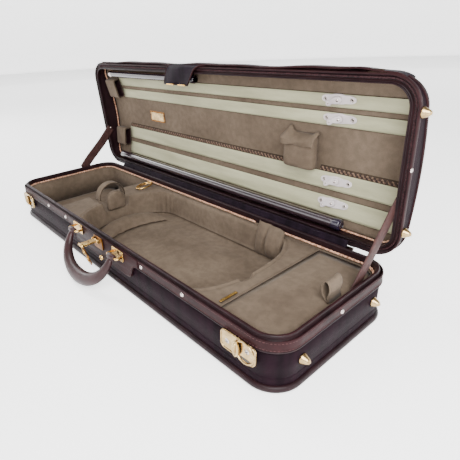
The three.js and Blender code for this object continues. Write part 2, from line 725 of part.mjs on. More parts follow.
function buildLid() {
  add(lid, "lid_shell", lidShell(), canvas);
  add(lid, "lid_piping", lidPiping(), leather);
  add(lid, "lid_rim", lidRim(), leather);
  add(lid, "lid_panel", lidPanel(), velvet);
  add(lid, "lid_rope", lidRope(), cord);
  add(lid, "hinge_leaf_lid", hingeLeaf(1, 1), brass);
  SPINNER.rows.forEach((y, i) => {
    const spot = onCeiling(SPINNER.x, y);
    add(spot, `bow_spinner_plate_${i + 1}`, spinnerPlate(), enamel);
    add(spot, `bow_spinner_lever_${i + 1}`, spinnerLever(), enamel);
  });
  add(onCeiling(TIP_POCKET.x, TIP_POCKET.upperY), "bow_tip_pocket_upper", bowTipPocket(), velvet);
  add(onCeiling(TIP_POCKET.x, TIP_POCKET.lowerY), "bow_tip_pocket_lower", bowTipPocket(), velvet);
  add(onCeiling(NAMEPLATE.x, NAMEPLATE.y), "nameplate", nameplate(), brass);
  add(onCeiling(POUCH.x, POUCH.y), "lid_pouch", pouch(), velvet);
  add(lid, "string_tube", stringTube(), glossTube);
  add(lid, "string_tube_cap", stringTubeCap(), glossTube);
  add(lid, "short_tube", shortTube(), glossTube);
  add(lid, "weather_flap", weatherFlap(), canvas);
  add(lid, "flap_tongue", flapTongue(), canvas);
  for (const [side, sign] of [["left", -1], ["right", 1]]) {
    add(lid, `lid_catch_${side}`, lidCatch(sign * LATCH.x), brass);
  }
  for (const [end, sign] of [["front", -1], ["back", 1]]) {
    const foot = add(lid, `lid_stud_${end}`, stud(), brass);
    foot.position.set(LENGTH / 2 - LID.inset + GAP, sign * STUD.lidY, LID_Z + STUD.lidDepth);
  }
}

// ---- Stay straps: flat ribbons from the base's end walls to the lid's, as they lie when it is open ----
function swungPoint(y, depth) {
  const axis = new THREE.Vector3(0, HINGE.y, HINGE.z);
  const point = new THREE.Vector3(0, y, LID_Z + depth).sub(axis);
  return point.applyAxisAngle(new THREE.Vector3(1, 0, 0), -LID_OPEN).add(axis);
}

function stayStrap(foot, headX) {
  const head = swungPoint(STAY.lidY, STAY.lidDepth).setX(headX);
  const across = new THREE.Vector3(0, foot.z - head.z, head.y - foot.y).setLength(STAY.width / 2);
  const thick = new THREE.Vector3(STAY.thick / 2, 0, 0);
  const ring = (end) => [
    end.clone().sub(thick).sub(across),
    end.clone().sub(thick).add(across),
    end.clone().add(thick).add(across),
    end.clone().add(thick).sub(across),
  ];
  const bend = foot.clone().lerp(head, 0.7).setX(headX);
  return loft([ring(foot), ring(bend), ring(head)], false);
}

function buildStays() {
  const leftFoot = new THREE.Vector3(-LEFT_STAY.x, LEFT_STAY.y, LEFT_STAY.z);
  const rightFoot = new THREE.Vector3(STAY.x, STAY.y, STAY.z);
  add(base, "stay_left", stayStrap(leftFoot, -STAY.x), ribbon);
  add(base, "stay_right", stayStrap(rightFoot, STAY.x), ribbon);
  add(base, "hinge_gusset", hingeGusset(), ribbon);
}

buildBase();
buildCompartment();
buildHardware();
buildHinge();
buildLid();
buildStays();

export default group;
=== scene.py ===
"""Looks of the open violin case for Blender 4.5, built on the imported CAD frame.

Lengths are millimetres and become metres in make(), except in the stage. Lid pieces are drawn in the closed
lid's place and swung open with the lid.
"""
import math

import bmesh
import bpy
import numpy as np
from mathutils import Matrix, Vector, noise


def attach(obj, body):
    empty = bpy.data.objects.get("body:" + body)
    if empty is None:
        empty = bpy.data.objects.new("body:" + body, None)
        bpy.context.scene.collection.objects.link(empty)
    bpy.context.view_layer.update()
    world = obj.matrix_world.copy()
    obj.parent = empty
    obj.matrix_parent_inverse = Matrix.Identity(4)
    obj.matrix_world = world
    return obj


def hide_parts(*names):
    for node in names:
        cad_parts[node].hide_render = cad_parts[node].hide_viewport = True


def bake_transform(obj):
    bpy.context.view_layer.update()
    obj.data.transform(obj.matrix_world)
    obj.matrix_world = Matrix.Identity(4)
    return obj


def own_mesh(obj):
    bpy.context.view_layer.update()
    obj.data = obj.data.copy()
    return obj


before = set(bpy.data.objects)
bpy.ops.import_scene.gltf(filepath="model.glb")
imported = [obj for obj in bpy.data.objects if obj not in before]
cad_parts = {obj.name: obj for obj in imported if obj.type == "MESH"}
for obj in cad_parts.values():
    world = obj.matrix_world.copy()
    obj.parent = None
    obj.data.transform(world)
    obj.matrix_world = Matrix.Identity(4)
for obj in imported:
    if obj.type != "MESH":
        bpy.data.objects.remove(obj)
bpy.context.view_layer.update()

# ---- Dimensions of the CAD model that the looks follow, in millimetres ----
LENGTH, WIDTH, CORNER = 790, 248, 40
LIP_OUT, LIP_IN = 4.6, 9.6
SHELL_IN = 2.2
HINGE_Y, HINGE_Z = 127.3, 75.2
LID_OPEN = math.radians(86)
LID_Z = 75.4
LID_IN, LID_LINING = 1.5, 9.0
ROOF, CURVE, SHOULDER = 48, 0.0014, 13
CEILING = 41
FACE = -126
BED_TOP, BAY_FLOOR, CASE_FLOOR = 62, 15, 7
HANDLE_Y, HANDLE_Z, HANDLE_REACH, HANDLE_HANG = -139, 66, 71, math.radians(32)
SPINNER_X, SPINNER_ROWS = 272, (-82.5, -54, 43.5, 78.5)
LEVER_DROOP = 0.35
BAY_LEFT, BAY_RIGHT, BAY_HALF = -80, 200, 106  # centres of the bay's rounded ends, half its width
UPPER_REACH, LOWER_REACH = 75, 50  # how far the rounded ends go past their centres
STRAP_X = -178
RING_X, RING_Y = -172, 85
COMPARTMENT_X = 280.6
PANEL_MIDDLE = 4
PLATE_Y = FACE - 1.5  # middle of the brass plates on the front panel
LOCK_X, LOCK_Z, HASP_Z, HASP_Y, HASP_REACH = 6, 63, 69, FACE - 5.5, 27
LATCH_X, LATCH_Z = 338, 48
SATIN_LEFT, SATIN_RIGHT = -327, 379
LACE_Y = 27.5
TUBE_Y, TUBE_Z = 102, LID_Z + 13
SHORT_TUBE_Y, SHORT_TUBE_Z = -98, LID_Z + 17
FLAP_HALF, GUSSET_HALF = 372, 322

LID_SWING = (
    Matrix.Translation((0, HINGE_Y, HINGE_Z))
    @ Matrix.Rotation(-LID_OPEN, 4, "X")
    @ Matrix.Translation((0, -HINGE_Y, -HINGE_Z))
)
WITH_LID = {"body": "lid", "lid": True}


# ---- Materials ----
def rgb(red, green, blue):
    """sRGB from 0 to 255 as the linear colour that shaders take."""
    linear = []
    for channel in (red, green, blue):
        share = channel / 255
        linear.append(share / 12.92 if share <= 0.04045 else ((share + 0.055) / 1.055) ** 2.4)
    return (*linear, 1)


class Finish:
    """A material with its node tree, built up from noise, waves and bumps in object coordinates."""

    def __init__(self, name, slot, roughness, metallic=0, sheen=0, coat=0, specular=0.4):
        self.slot = slot
        self.material = bpy.data.materials.new(name)
        self.material.use_nodes = True
        self.tree = self.material.node_tree
        self.shader = self.tree.nodes["Principled BSDF"]
        self.shader.inputs["Roughness"].default_value = roughness
        self.shader.inputs["Metallic"].default_value = metallic
        self.shader.inputs["Sheen Weight"].default_value = sheen
        self.shader.inputs["Sheen Roughness"].default_value = 0.4
        self.shader.inputs["Coat Weight"].default_value = coat
        self.shader.inputs["Coat Roughness"].default_value = 0.12
        self.shader.inputs["Specular IOR Level"].default_value = specular
        self.coords = self.node("ShaderNodeTexCoord").outputs["Object"]
        self.height = None

    def node(self, kind, **inputs):
        made = self.tree.nodes.new(kind)
        for key, value in inputs.items():
            made.inputs[key].default_value = value
        return made

    def link(self, source, target):
        self.tree.links.new(source, target)

    def stretched(self, scale):
        mapping = self.node("ShaderNodeMapping", Scale=scale)
        self.link(self.coords, mapping.inputs["Vector"])
        return mapping.outputs["Vector"]

    def noise(self, scale, detail, stretch=None):
        made = self.node("ShaderNodeTexNoise", Scale=scale, Detail=detail)
        self.link(self.stretched(stretch) if stretch else self.coords, made.inputs["Vector"])
        return made.outputs["Fac"]

    def cells(self, scale):
        made = self.node("ShaderNodeTexVoronoi", Scale=scale)
        self.link(self.coords, made.inputs["Vector"])
        return made.outputs["Distance"]

    def wave(self, scale, direction):
        made = self.node("ShaderNodeTexWave", Scale=scale, Distortion=0)
        made.bands_direction = direction
        self.link(self.coords, made.inputs["Vector"])
        return made.outputs["Fac"]

    def ramp(self, factor, *stops):
        made = self.node("ShaderNodeValToRGB")
        elements = made.color_ramp.elements
        while len(elements) < len(stops):
            elements.new(0.5)
        for element, (place, colour) in zip(elements, stops):
            element.position = place
            element.color = colour
        self.link(factor, made.inputs["Fac"])
        return made.outputs["Color"]

    def tones(self, factor, dark, light, low=0.3, high=0.7):
        return self.ramp(factor, (low, rgb(*dark)), (high, rgb(*light)))

    def shade(self, factor, darkest, low=0.3, high=0.7):
        return self.ramp(factor, (low, grey(darkest)), (high, grey(1)))

    def multiply(self, first, second, share=1.0):
        made = self.tree.nodes.new("ShaderNodeMix")
        made.data_type = "RGBA"
        made.blend_type = "MULTIPLY"
        made.inputs[0].default_value = share
        self.link(first, made.inputs[6])
        self.link(second, made.inputs[7])
        return made.outputs[2]

    def colour(self, socket):
        self.link(socket, self.shader.inputs["Base Color"])
        return self

    def roughness(self, factor, low, high):
        made = self.node("ShaderNodeMapRange")
        made.inputs["To Min"].default_value = low
        made.inputs["To Max"].default_value = high
        self.link(factor, made.inputs["Value"])
        self.link(made.outputs["Result"], self.shader.inputs["Roughness"])
        return self

    def bump(self, height, strength, distance):
        made = self.node("ShaderNodeBump", Strength=strength, Distance=distance)
        self.link(height, made.inputs["Height"])
        if self.height:
            self.link(self.height, made.inputs["Normal"])
        self.height = made.outputs["Normal"]
        self.link(self.height, self.shader.inputs["Normal"])
        return self


def grey(value):
    return (value, value, value, 1)


def velvet(name, light, dark):
    """Crushed velvet: soft patches of nap and small flecks where it is brushed the other way, their tones
    painted sheen of the pile, over fine fibres.
    """
    made = Finish(name, "velvet", 0.9, sheen=0.04, specular=0.1)
    # Lighter and darker nap patches: painted sheen of the crushed pile.
    nap = made.tones(made.noise(11, 6), dark, light)
    flecks = made.shade(made.noise(95, 4), 0.84, 0.38, 0.62)
    fibres = made.shade(made.noise(1500, 2), 0.8)
    made.colour(made.multiply(made.multiply(nap, flecks), fibres))
    made.bump(made.noise(95, 4), 0.2, 0.001)
    return made.bump(made.noise(1800, 2), 0.3, 0.0004)


def leather(name, light, dark, rough=0.42, grain=0.25, specular=0.14):
    made = Finish(name, "leather", rough, specular=specular)
    patches = made.tones(made.noise(35, 4), dark, light)
    pores = made.ramp(made.cells(950), (0.0, grey(1)), (0.8, grey(0.75)))
    made.colour(made.multiply(patches, pores, 0.6))
    made.roughness(made.noise(120, 3), rough - 0.08, rough + 0.12)
    made.bump(made.noise(160, 3), 0.12, 0.001)
    return made.bump(made.cells(950), grain, 0.0004)


def canvas(name, light, dark, rough=0.55):
    """Tightly woven polyester: fine warp and weft over faint upright streaks."""
    made = Finish(name, "canvas", rough, specular=0.05)
    streaks = made.tones(made.noise(6, 3, (14, 14, 0.6)), dark, light, 0.35, 0.65)
    weft = made.shade(made.wave(420, "Z"), 0.7, 0, 1)
    warp = made.shade(made.wave(420, "DIAGONAL"), 0.8, 0, 1)
    made.colour(made.multiply(made.multiply(streaks, weft, 0.7), warp, 0.7))
    made.bump(made.wave(420, "Z"), 0.25, 0.0003)
    return made.bump(made.wave(420, "DIAGONAL"), 0.2, 0.0003)


def satin():
    made = Finish("sage_satin", "velvet", 0.55, sheen=0.05, specular=0.2)
    # The lighter and darker streaks along the strip are painted sheen of the satin.
    sheen = made.tones(made.noise(9, 4, (1, 7, 7)), (142, 140, 112), (168, 165, 136))
    threads = made.shade(made.noise(120, 2, (1, 22, 22)), 0.86)
    made.colour(made.multiply(sheen, threads))
    return made.bump(made.noise(120, 2, (1, 22, 22)), 0.15, 0.0004)


def brass(name, light, dark, rough):
    made = Finish(name, "brass", rough, metallic=1)
    made.colour(made.tones(made.noise(90, 4), dark, light))
    made.roughness(made.noise(240, 3), rough - 0.08, rough + 0.14)
    return made.bump(made.noise(500, 2), 0.06, 0.0003)


def cord(name, light, dark):
    made = Finish(name, "rope_trim", 0.7, specular=0.2)
    made.colour(made.tones(made.noise(420, 2), dark, light, 0.35, 0.6))
    return made.bump(made.noise(1500, 2), 0.4, 0.0003)


def gloss(name, slot, light, dark, rough=0.15, coat=0.5):
    made = Finish(name, slot, rough, coat=coat)
    made.colour(made.tones(made.noise(60, 3), dark, light))
    made.roughness(made.noise(300, 3), rough - 0.05, rough + 0.1)
    return made.bump(made.noise(220, 2), 0.04, 0.0003)


def ribbed(name, light, dark):
    """Grosgrain ribbon: fine ribs across a strap."""
    made = Finish(name, "ribbon", 0.6, specular=0.2)
    cloth = made.tones(made.noise(200, 3), dark, light)
    ribs = made.shade(made.wave(300, "DIAGONAL"), 0.75, 0, 1)
    made.colour(made.multiply(cloth, ribs))
    return made.bump(made.wave(300, "DIAGONAL"), 0.4, 0.0004)


VELVET = velvet("velvet", (108, 94, 80), (88, 75, 63))
# Shaded copy of the velvet: painted shade along seams, the strap's bindings, the satin strips' edges, the bow
# pockets' mouths and the lace's tape.
SHADED_VELVET = velvet("shaded_velvet", (72, 61, 50), (50, 41, 33))
BAND_LEATHER = leather("plum_leather", (44, 22, 24), (28, 13, 15), specular=0.07)
DARK_LEATHER = leather("dark_leather", (36, 20, 23), (22, 11, 14), 0.36)
HANDLE_LEATHER = leather("handle_leather", (58, 36, 37), (40, 24, 25), 0.34, 0.1, 0.22)
CANVAS = canvas("purple_canvas", (28, 12, 21), (16, 6, 12))
LID_CANVAS = canvas("lid_canvas", (24, 17, 22), (14, 9, 13), 0.5)
SATIN = satin()
BRASS = brass("polished_brass", (226, 188, 118), (182, 138, 72), 0.2)
PALE_GOLD = brass("pale_gold", (194, 168, 122), (146, 118, 76), 0.22)
DARK_BRASS = brass("engraved_brass", (150, 100, 42), (70, 42, 16), 0.32)
ROPE = cord("peach_cord", (206, 160, 132), (112, 72, 52))
RIM_CORD = cord("wine_cord", (66, 40, 43), (34, 19, 22))
THREAD = cord("stitch_thread", (84, 54, 54), (54, 32, 34))
# Pale lace strand: painted highlight on the braid's crests; the dark strand is the lace's own colour.
LACE_HIGHLIGHT = cord("lace_thread", (118, 94, 78), (72, 54, 44))
DARK_LACE = cord("dark_lace_thread", (58, 44, 38), (30, 22, 20))
TUBE = gloss("aubergine_plastic", "tube", (42, 28, 36), (26, 16, 22), 0.14, 1)
TUBE_CAP = gloss("tube_cap_plastic", "tube", (32, 24, 44), (16, 12, 24), 0.2)
ENAMEL = gloss("white_enamel", "enamel", (196, 186, 186), (170, 160, 162), 0.35)
RIBBON = ribbed("stay_ribbon", (72, 45, 42), (48, 29, 28))
GUSSET = canvas("gusset_canvas", (28, 18, 28), (16, 9, 16), 0.42)
SNAP = brass("snap_nickel", (214, 204, 198), (168, 156, 152), 0.22)
# Near-black gloss: painted shade inside slots, screw recesses and the spinners' screw holes.
SLOT_SHADE = gloss("painted_slot_shade", "brass", (30, 22, 18), (16, 12, 10), 0.5)
BLACK_BRASS = brass("blackened_brass", (52, 40, 34), (26, 19, 16), 0.4)


# ---- Mesh helpers ----
def make(name, vertices, faces, finish, body="base", node=None, lid=False, smooth=True):
    mesh = bpy.data.meshes.new(name)
    mesh.from_pydata([Vector(v) for v in vertices], [], faces)
    shaped = bmesh.new()
    shaped.from_mesh(mesh)
    bmesh.ops.remove_doubles(shaped, verts=shaped.verts, dist=1e-4)
    bmesh.ops.recalc_face_normals(shaped, faces=shaped.faces)
    shaped.to_mesh(mesh)
    shaped.free()
    if lid:
        mesh.transform(LID_SWING)
    mesh.transform(Matrix.Scale(0.001, 4))
    obj = bpy.data.objects.new(name, mesh)
    bpy.context.collection.objects.link(obj)
    paint(obj, finish, smooth)
    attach(obj, body)
    if node:
        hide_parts(node)
    return obj


def paint(obj, finish, smooth=True):
    obj.data.materials.clear()
    obj.data.materials.append(finish.material)
    obj.data.polygons.foreach_set("use_smooth", [smooth] * len(obj.data.polygons))


def soften(obj):
    """Rounds a machined piece's edges."""
    bevel = obj.modifiers.new("rounded_edges", "BEVEL")
    bevel.width = 0.00025
    bevel.segments = 2
    bevel.limit_method = "ANGLE"
    bevel.angle_limit = math.radians(35)
    bevel.harden_normals = True


def level(plan, height):
    """The points of a plan at one height."""
    return [(x, y, height) for x, y in plan]


def grid_faces(rows, columns, closed_rows=False, closed_columns=False):
    faces = []
    for i in range(rows if closed_rows else rows - 1):
        for j in range(columns if closed_columns else columns - 1):
            i2, j2 = (i + 1) % rows, (j + 1) % columns
            faces.append((i * columns + j, i * columns + j2, i2 * columns + j2, i2 * columns + j))
    return faces


def skin(name, rings, finish, caps=(False, False), closed=False, **where):
    """A surface through closed rings with equal counts; caps says which of its two ends are filled."""
    count = len(rings[0])
    vertices = [point for ring in rings for point in ring]
    faces = grid_faces(len(rings), count, closed_rows=closed, closed_columns=True)
    ends = tuple(range(count)), tuple(range(len(vertices) - count, len(vertices)))
    faces += [end for end, filled in zip(ends, caps) if filled]
    return make(name, vertices, faces, finish, **where)


def fabric(name, rows, columns, place, finish, thickness, offset=0, **where):
    """A sheet of cloth; place(u, v) gives its point at the shares u over the columns and v over the rows."""
    vertices = [place(j / (columns - 1), i / (rows - 1)) for i in range(rows) for j in range(columns)]
    sheet = make(name, vertices, grid_faces(rows, columns), finish, **where)
    thicken(sheet, thickness, offset)
    return sheet


def thicken(obj, thickness, offset):
    solid = obj.modifiers.new("thickness", "SOLIDIFY")
    solid.thickness = thickness / 1000
    solid.offset = offset
    apply_modifiers(obj)


def subdivide(obj):
    divide = obj.modifiers.new("divide", "SUBSURF")
    divide.levels = divide.render_levels = 1
    apply_modifiers(obj)


def outline(inset, long_steps=60, short_steps=18, corner_steps=14):
    """Points round the case's plan at one inset, anticlockwise, the same count at every inset."""
    radius = CORNER - inset
    cx, cy = LENGTH / 2 - CORNER, WIDTH / 2 - CORNER
    corners = [(cx, cy, 0), (-cx, cy, 90), (-cx, -cy, 180), (cx, -cy, 270)]
    points = []
    for k, (x, y, start) in enumerate(corners):
        for i in range(corner_steps + 1):
            angle = math.radians(start + 90 * i / corner_steps)
            points.append((x + radius * math.cos(angle), y + radius * math.sin(angle)))
        nx, ny, following = corners[(k + 1) % 4]
        a = math.radians(following)
        goal = (nx + radius * math.cos(a), ny + radius * math.sin(a))
        here = points[-1]
        steps = long_steps if k % 2 == 0 else short_steps
        for i in range(1, steps):
            share = i / steps
            points.append((here[0] + (goal[0] - here[0]) * share, here[1] + (goal[1] - here[1]) * share))
    return points


def moulding(name, section, finish, lift=None, **where):
    """A solid strip round the plan; section is a closed list of (inset, height)."""
    rings = []
    for points in zip(*[outline(inset) for inset, _ in section]):
        rings.append([(x, y, z + (lift(y) if lift else 0)) for (x, y), (_, z) in zip(points, section)])
    return skin(name, rings, finish, closed=True, **where)


def arc(cx, cz, radius, start, end, steps=8, squash=1.0):
    points = []
    for i in range(steps + 1):
        angle = math.radians(start + (end - start) * i / steps)
        points.append((cx + radius * math.cos(angle), cz + radius * squash * math.sin(angle)))
    return points


def circle(cx, cz, radius, count, squash=1.0):
    return arc(cx, cz, radius, 0, 360, count, squash)[:-1]


def tube(name, path, radius, finish, sides=12, closed=False, strands=0, pitch=6, **where):
    """Round or twisted cord along a path of points; radius may be a function of the share along it."""
    points = [Vector(p) for p in path]
    count = len(points)
    rings = []
    travelled = 0
    side = None
    for i, point in enumerate(points):
        before = points[i - 1] if closed or i else point
        after = points[(i + 1) % count] if closed or i < count - 1 else point
        tangent = (after - before).normalized()
        if side is None:
            side = tangent.orthogonal().normalized()
        side = (side - tangent * side.dot(tangent)).normalized()
        up = tangent.cross(side)
        travelled += (point - points[i - 1]).length if i else 0
        size = radius(i / (count - 1)) if callable(radius) else radius
        ring = []
        for j in range(sides):
            angle = 2 * math.pi * j / sides
            swell = 1
            if strands:
                twist = strands / 2 * (angle - 2 * math.pi * travelled / pitch / strands)
                swell = 0.6 + 0.4 * abs(math.cos(twist))
            ring.append(point + size * swell * (math.cos(angle) * side + math.sin(angle) * up))
        rings.append(ring)
    return skin(name, rings, finish, (not closed, not closed), closed, **where)


def walk(points, step, closed=True):
    """The same line as points, in equal steps."""
    line = [Vector(p) for p in points]
    if closed:
        line.append(line[0])
    spans = [(b - a).length for a, b in zip(line, line[1:])]
    total = sum(spans)
    count = max(2, int(total / step))
    walked = []
    span, passed = 0, 0.0
    for i in range(count + (0 if closed else 1)):
        goal = total * i / count
        while span < len(spans) - 1 and passed + spans[span] < goal:
            passed += spans[span]
            span += 1
        walked.append(line[span].lerp(line[span + 1], min(1, (goal - passed) / spans[span])))
    return walked


def stitches(name, path, normal, closed=False):
    """A row of thread stitches lying along a path; normal gives the surface's direction at a point."""
    pitch, long, thick = 4.2, 2.7, 0.5
    points = walk(path, pitch, closed)
    vertices, faces = [], []
    for i in range(len(points) - (0 if closed else 1)):
        here, there = points[i], points[(i + 1) % len(points)]
        along = (there - here).normalized()
        out = Vector(normal(here)).normalized()
        across = along.cross(out).normalized()
        start = len(vertices)
        for share, size in ((-0.5, 0.45), (-0.3, 1), (0.3, 1), (0.5, 0.45)):
            centre = here + along * (long * share)
            for angle in (0, 90, 180, 270):
                a = math.radians(angle)
                ring = across * math.cos(a) + out * (math.sin(a) * 0.7 + 0.2)
                vertices.append(centre + ring * (thick * size))
        quads = grid_faces(4, 4, closed_columns=True) + [(0, 1, 2, 3), (12, 13, 14, 15)]
        faces += [tuple(start + v for v in face) for face in quads]
    return make(name, vertices, faces, THREAD)


def plate(name, shape, low, high, finish, axis="Z", origin=(0, 0, 0), edge=0.5, holes=(), **where):
    """A flat piece: shape is a closed outline, raised from low to high along an axis, its edges rounded."""
    curve = bpy.data.curves.new(name, "CURVE")
    curve.dimensions = "2D"
    curve.fill_mode = "BOTH"
    curve.extrude = max(0.01, (high - low) / 2 - edge)
    curve.bevel_depth = edge
    curve.bevel_resolution = 2
    curve.offset = -edge
    for ring in (shape, *holes):
        spline = curve.splines.new("POLY")
        spline.points.add(len(ring) - 1)
        for point, (x, y) in zip(spline.points, ring):
            point.co = (x, y, 0, 1)
        spline.use_cyclic_u = True
    holder = bpy.data.objects.new(name + "_outline", curve)
    bpy.context.collection.objects.link(holder)
    mesh = bpy.data.meshes.new_from_object(holder.evaluated_get(bpy.context.evaluated_depsgraph_get()))
    bpy.data.objects.remove(holder)
    mesh.transform(Matrix.Translation((0, 0, (low + high) / 2)))
    if axis == "Y":
        mesh.transform(Matrix.Rotation(math.pi / 2, 4, "X"))
    if axis == "X":
        mesh.transform(Matrix.Rotation(math.pi / 2, 4, "Z") @ Matrix.Rotation(math.pi / 2, 4, "X"))
    mesh.transform(Matrix.Translation(origin))
    vertices = [v.co.copy() for v in mesh.vertices]
    faces = [tuple(p.vertices) for p in mesh.polygons]
    return make(name, vertices, faces, finish, smooth=False, **where)


def rounded(length, width, radius, steps=8):
    points = []
    x, y = length / 2 - radius, width / 2 - radius
    for cx, cy, start in ((x, y, 0), (-x, y, 90), (-x, -y, 180), (x, -y, 270)):
        points += arc(cx, cy, radius, start, start + 90, steps)
    return points


def raised(shape, height):
    """The same outline with its second coordinate moved up."""
    return [(x, z + height) for x, z in shape]


def lathe(name, profile, place, axis, finish, sides=28, **where):
    """A turned piece: profile is a list of (radius, distance) along axis from place."""
    turn = Vector((0, 0, 1)).rotation_difference(Vector(axis).normalized()).to_matrix()
    rings = []
    for radius, height in profile:
        angles = [2 * math.pi * j / sides for j in range(sides)]
        ring = [Vector((radius * math.cos(a), radius * math.sin(a), height)) for a in angles]
        rings.append([Vector(place) + turn @ point for point in ring])
    return skin(name, rings, finish, **where)


def smooth_step(value, low, high):
    share = np.clip((value - low) / (high - low), 0, 1)
    return share * share * (3 - 2 * share)


def puff(obj, voxel, cap):
    """Swells a closed form as cloth under pressure, by at most cap, so that it wrinkles as a pad does."""
    frames, pressure, stiffness = 20, 4, 20
    remesh = obj.modifiers.new("voxels", "REMESH")
    remesh.mode = "VOXEL"
    remesh.voxel_size = voxel / 1000
    apply_modifiers(obj)
    rest = np.array([v.co for v in obj.data.vertices])
    cloth = obj.modifiers.new("stuffing", "CLOTH")
    cloth.settings.use_pressure = True
    cloth.settings.uniform_pressure_force = pressure
    cloth.settings.effector_weights.gravity = 0
    cloth.settings.tension_stiffness = stiffness
    cloth.point_cache.frame_end = frames
    for step in range(1, frames + 1):
        bpy.context.scene.frame_set(step)
    apply_modifiers(obj)
    bpy.context.scene.frame_set(1)
    moved = np.array([v.co for v in obj.data.vertices]) - rest
    length = np.linalg.norm(moved, axis=1, keepdims=True)
    moved *= np.minimum(1, cap / 1000 / np.maximum(length, 1e-9))
    obj.data.vertices.foreach_set("co", (rest + moved).ravel())
    smoothing = obj.modifiers.new("relax", "SMOOTH")
    smoothing.factor = 0.5
    smoothing.iterations = 3
    subdivide(obj)
    obj.data.polygons.foreach_set("use_smooth", [True] * len(obj.data.polygons))


def apply_modifiers(obj):
    shaped = obj.evaluated_get(bpy.context.evaluated_depsgraph_get())
    mesh = bpy.data.meshes.new_from_object(shaped)
    obj.modifiers.clear()
    obj.data = mesh


def wrinkle(x, y, z, size, depth):
    return depth * noise.noise(Vector((x / size, y / size, z / size)))


# ---- Base: shell, piping, band, rim and rope ----
def base_shell():
    groove = SHELL_IN + 0.7
    section = [(SHELL_IN + 1, 1), (SHELL_IN, 4), (SHELL_IN, 18.6), (groove, 19.4), (groove, 20.2)]
    section += [(SHELL_IN, 21), (SHELL_IN, 57.6), (LIP_IN - 0.6, 57.6), (LIP_IN - 0.6, 6), (14, 1)]
    moulding("base_cover", section, CANVAS, node="base_shell")
    bottom = [level(outline(LIP_IN - 2), z) for z in (0.8, 6)]
    skin("base_bottom", bottom, DARK_LEATHER, caps=(True, True), smooth=False)
    lining = [(LIP_IN + 0.1, 66.4), (LIP_IN + 0.9, 65.8), (LIP_IN + 0.9, 6), (LIP_IN + 0.1, 6)]
    moulding("base_lining", lining, VELVET)


def base_trim():
    bead = arc(SHELL_IN - 0.2, 5, 4.6, 90, 270, 12, 1.05) + [(SHELL_IN + 0.6, 0.3), (SHELL_IN + 0.6, 9.7)]
    moulding("base_piping", bead, DARK_LEATHER, node="base_piping")
    band = arc(1.0, 61, 1, 180, 270, 4) + [(1.8, 60.2), (1.8, 74.4)] + arc(1.0, 74, 1, 60, 180, 5)
    moulding("base_band", band, BAND_LEATHER, node="base_band")
    moulding("band_edge", circle(0.4, 59.8, 1.1, 10), DARK_LEATHER)
    lip = [(LIP_IN, 58), (LIP_IN, 58.6), (LIP_IN, 76), *arc(LIP_IN - 2.4, 76.8, 2.4, 0, 180, 10)]
    lip += [(LIP_OUT, 73), (SHELL_IN + 0.2, 72), (SHELL_IN + 0.2, 58)]
    moulding("base_rim", lip, DARK_LEATHER, node="base_rim")
    moulding("rim_welt", circle((LIP_OUT + LIP_IN) / 2, 78.2, 1.5, 10, 0.7), BAND_LEATHER)
    for name, height in (("band_low", 62.6), ("band_high", 72.4)):
        stitches(f"stitches_{name}", level(outline(-0.1), height), outward, closed=True)


def outward(point):
    """Direction out of the plan's outline at a point near it."""
    x = max(abs(point.x) - (LENGTH / 2 - CORNER), 0) * (1 if point.x > 0 else -1)
    y = max(abs(point.y) - (WIDTH / 2 - CORNER), 0) * (1 if point.y > 0 else -1)
    return Vector((x, y, 0)) if x or y else Vector((0, 1, 0))


def base_rope():
    """Two-strand rope along the lining; it stops behind the lower bout, where the bay flap starts."""
    loop = level(outline(LIP_IN + 2.1, 120, 40, 20), 68)
    gap = [i for i, (x, y, _) in enumerate(loop) if 150 < x < 202 and y > 0]
    path = walk(loop[gap[-1] + 1:] + loop[:gap[0]], 0.9, closed=False)
    tube("base_rope", path, 1.9, ROPE, sides=10, strands=2, pitch=6.4, node="base_rope")


# ---- Velvet bed ----
def bay_distance(x, y):
    """Roughly how far (x, y) is outside the violin bay, negative inside."""
    cx = np.clip(x, BAY_LEFT, BAY_RIGHT)
    reach = np.where(x > 0, LOWER_REACH, UPPER_REACH)
    u, v = (x - cx) / reach, y / BAY_HALF
    rho = np.sqrt(u * u + v * v)
    slope = np.sqrt((u / reach) ** 2 + (v / BAY_HALF) ** 2) / np.maximum(rho, 1e-6)
    return (rho - 1) / np.maximum(slope, 1e-6)


def bed_height(x, y):
    """Height of the lining over the violin bay, the neck channel and the plateau round them."""
    outside = bay_distance(x, y)
    wall = smooth_step(outside, -5, 4)
    waves = 0.8 * np.cos(x / 37) * np.cos(y / 29)
    seam_at = 9
    roll = smooth_step(outside, 0, 3) * smooth_step(seam_at - outside, 0, 2)
    seam = np.exp(-((outside - seam_at) / 1.3) ** 2)
    channel = smooth_step(34 - np.abs(y), 0, 7) * smooth_step(-148 - x, 0, 10)
    plateau = BED_TOP - 1.2 + waves + 0.9 * roll - 2.2 * seam - 21 * channel
    foot = BAY_FLOOR - 3
    notch = smooth_step(14 - np.abs(y + 24), 0, 5) * smooth_step(x, 243, 250) * smooth_step(262 - x, 0, 4)
    return foot + (plateau - foot) * wall - 7 * notch * wall


def gathered(x, y):
    """Grid points of the bed moved in and out where its wall is gathered, at the bay's four corners."""
    gathers = np.zeros_like(x)
    for cx, cy, spread in ((-118, 98, 26), (-118, -98, 26), (212, 90, 30), (205, -95, 24)):
        near = np.exp(-((x - cx) ** 2 + (y - cy) ** 2) / spread**2)
        gathers += near * np.sin(62 * np.arctan2(y, x - np.sign(cx) * 60))
    pleat = 2.6 * gathers * np.exp(-((bay_distance(x, y) + 1) / 5) ** 2)
    out_x, out_y = (x - np.clip(x, BAY_LEFT, BAY_RIGHT)) / 60**2, y / BAY_HALF**2
    steep = np.sqrt(out_x**2 + out_y**2) + 1e-9
    return x + pleat * out_x / steep, y + pleat * out_y / steep


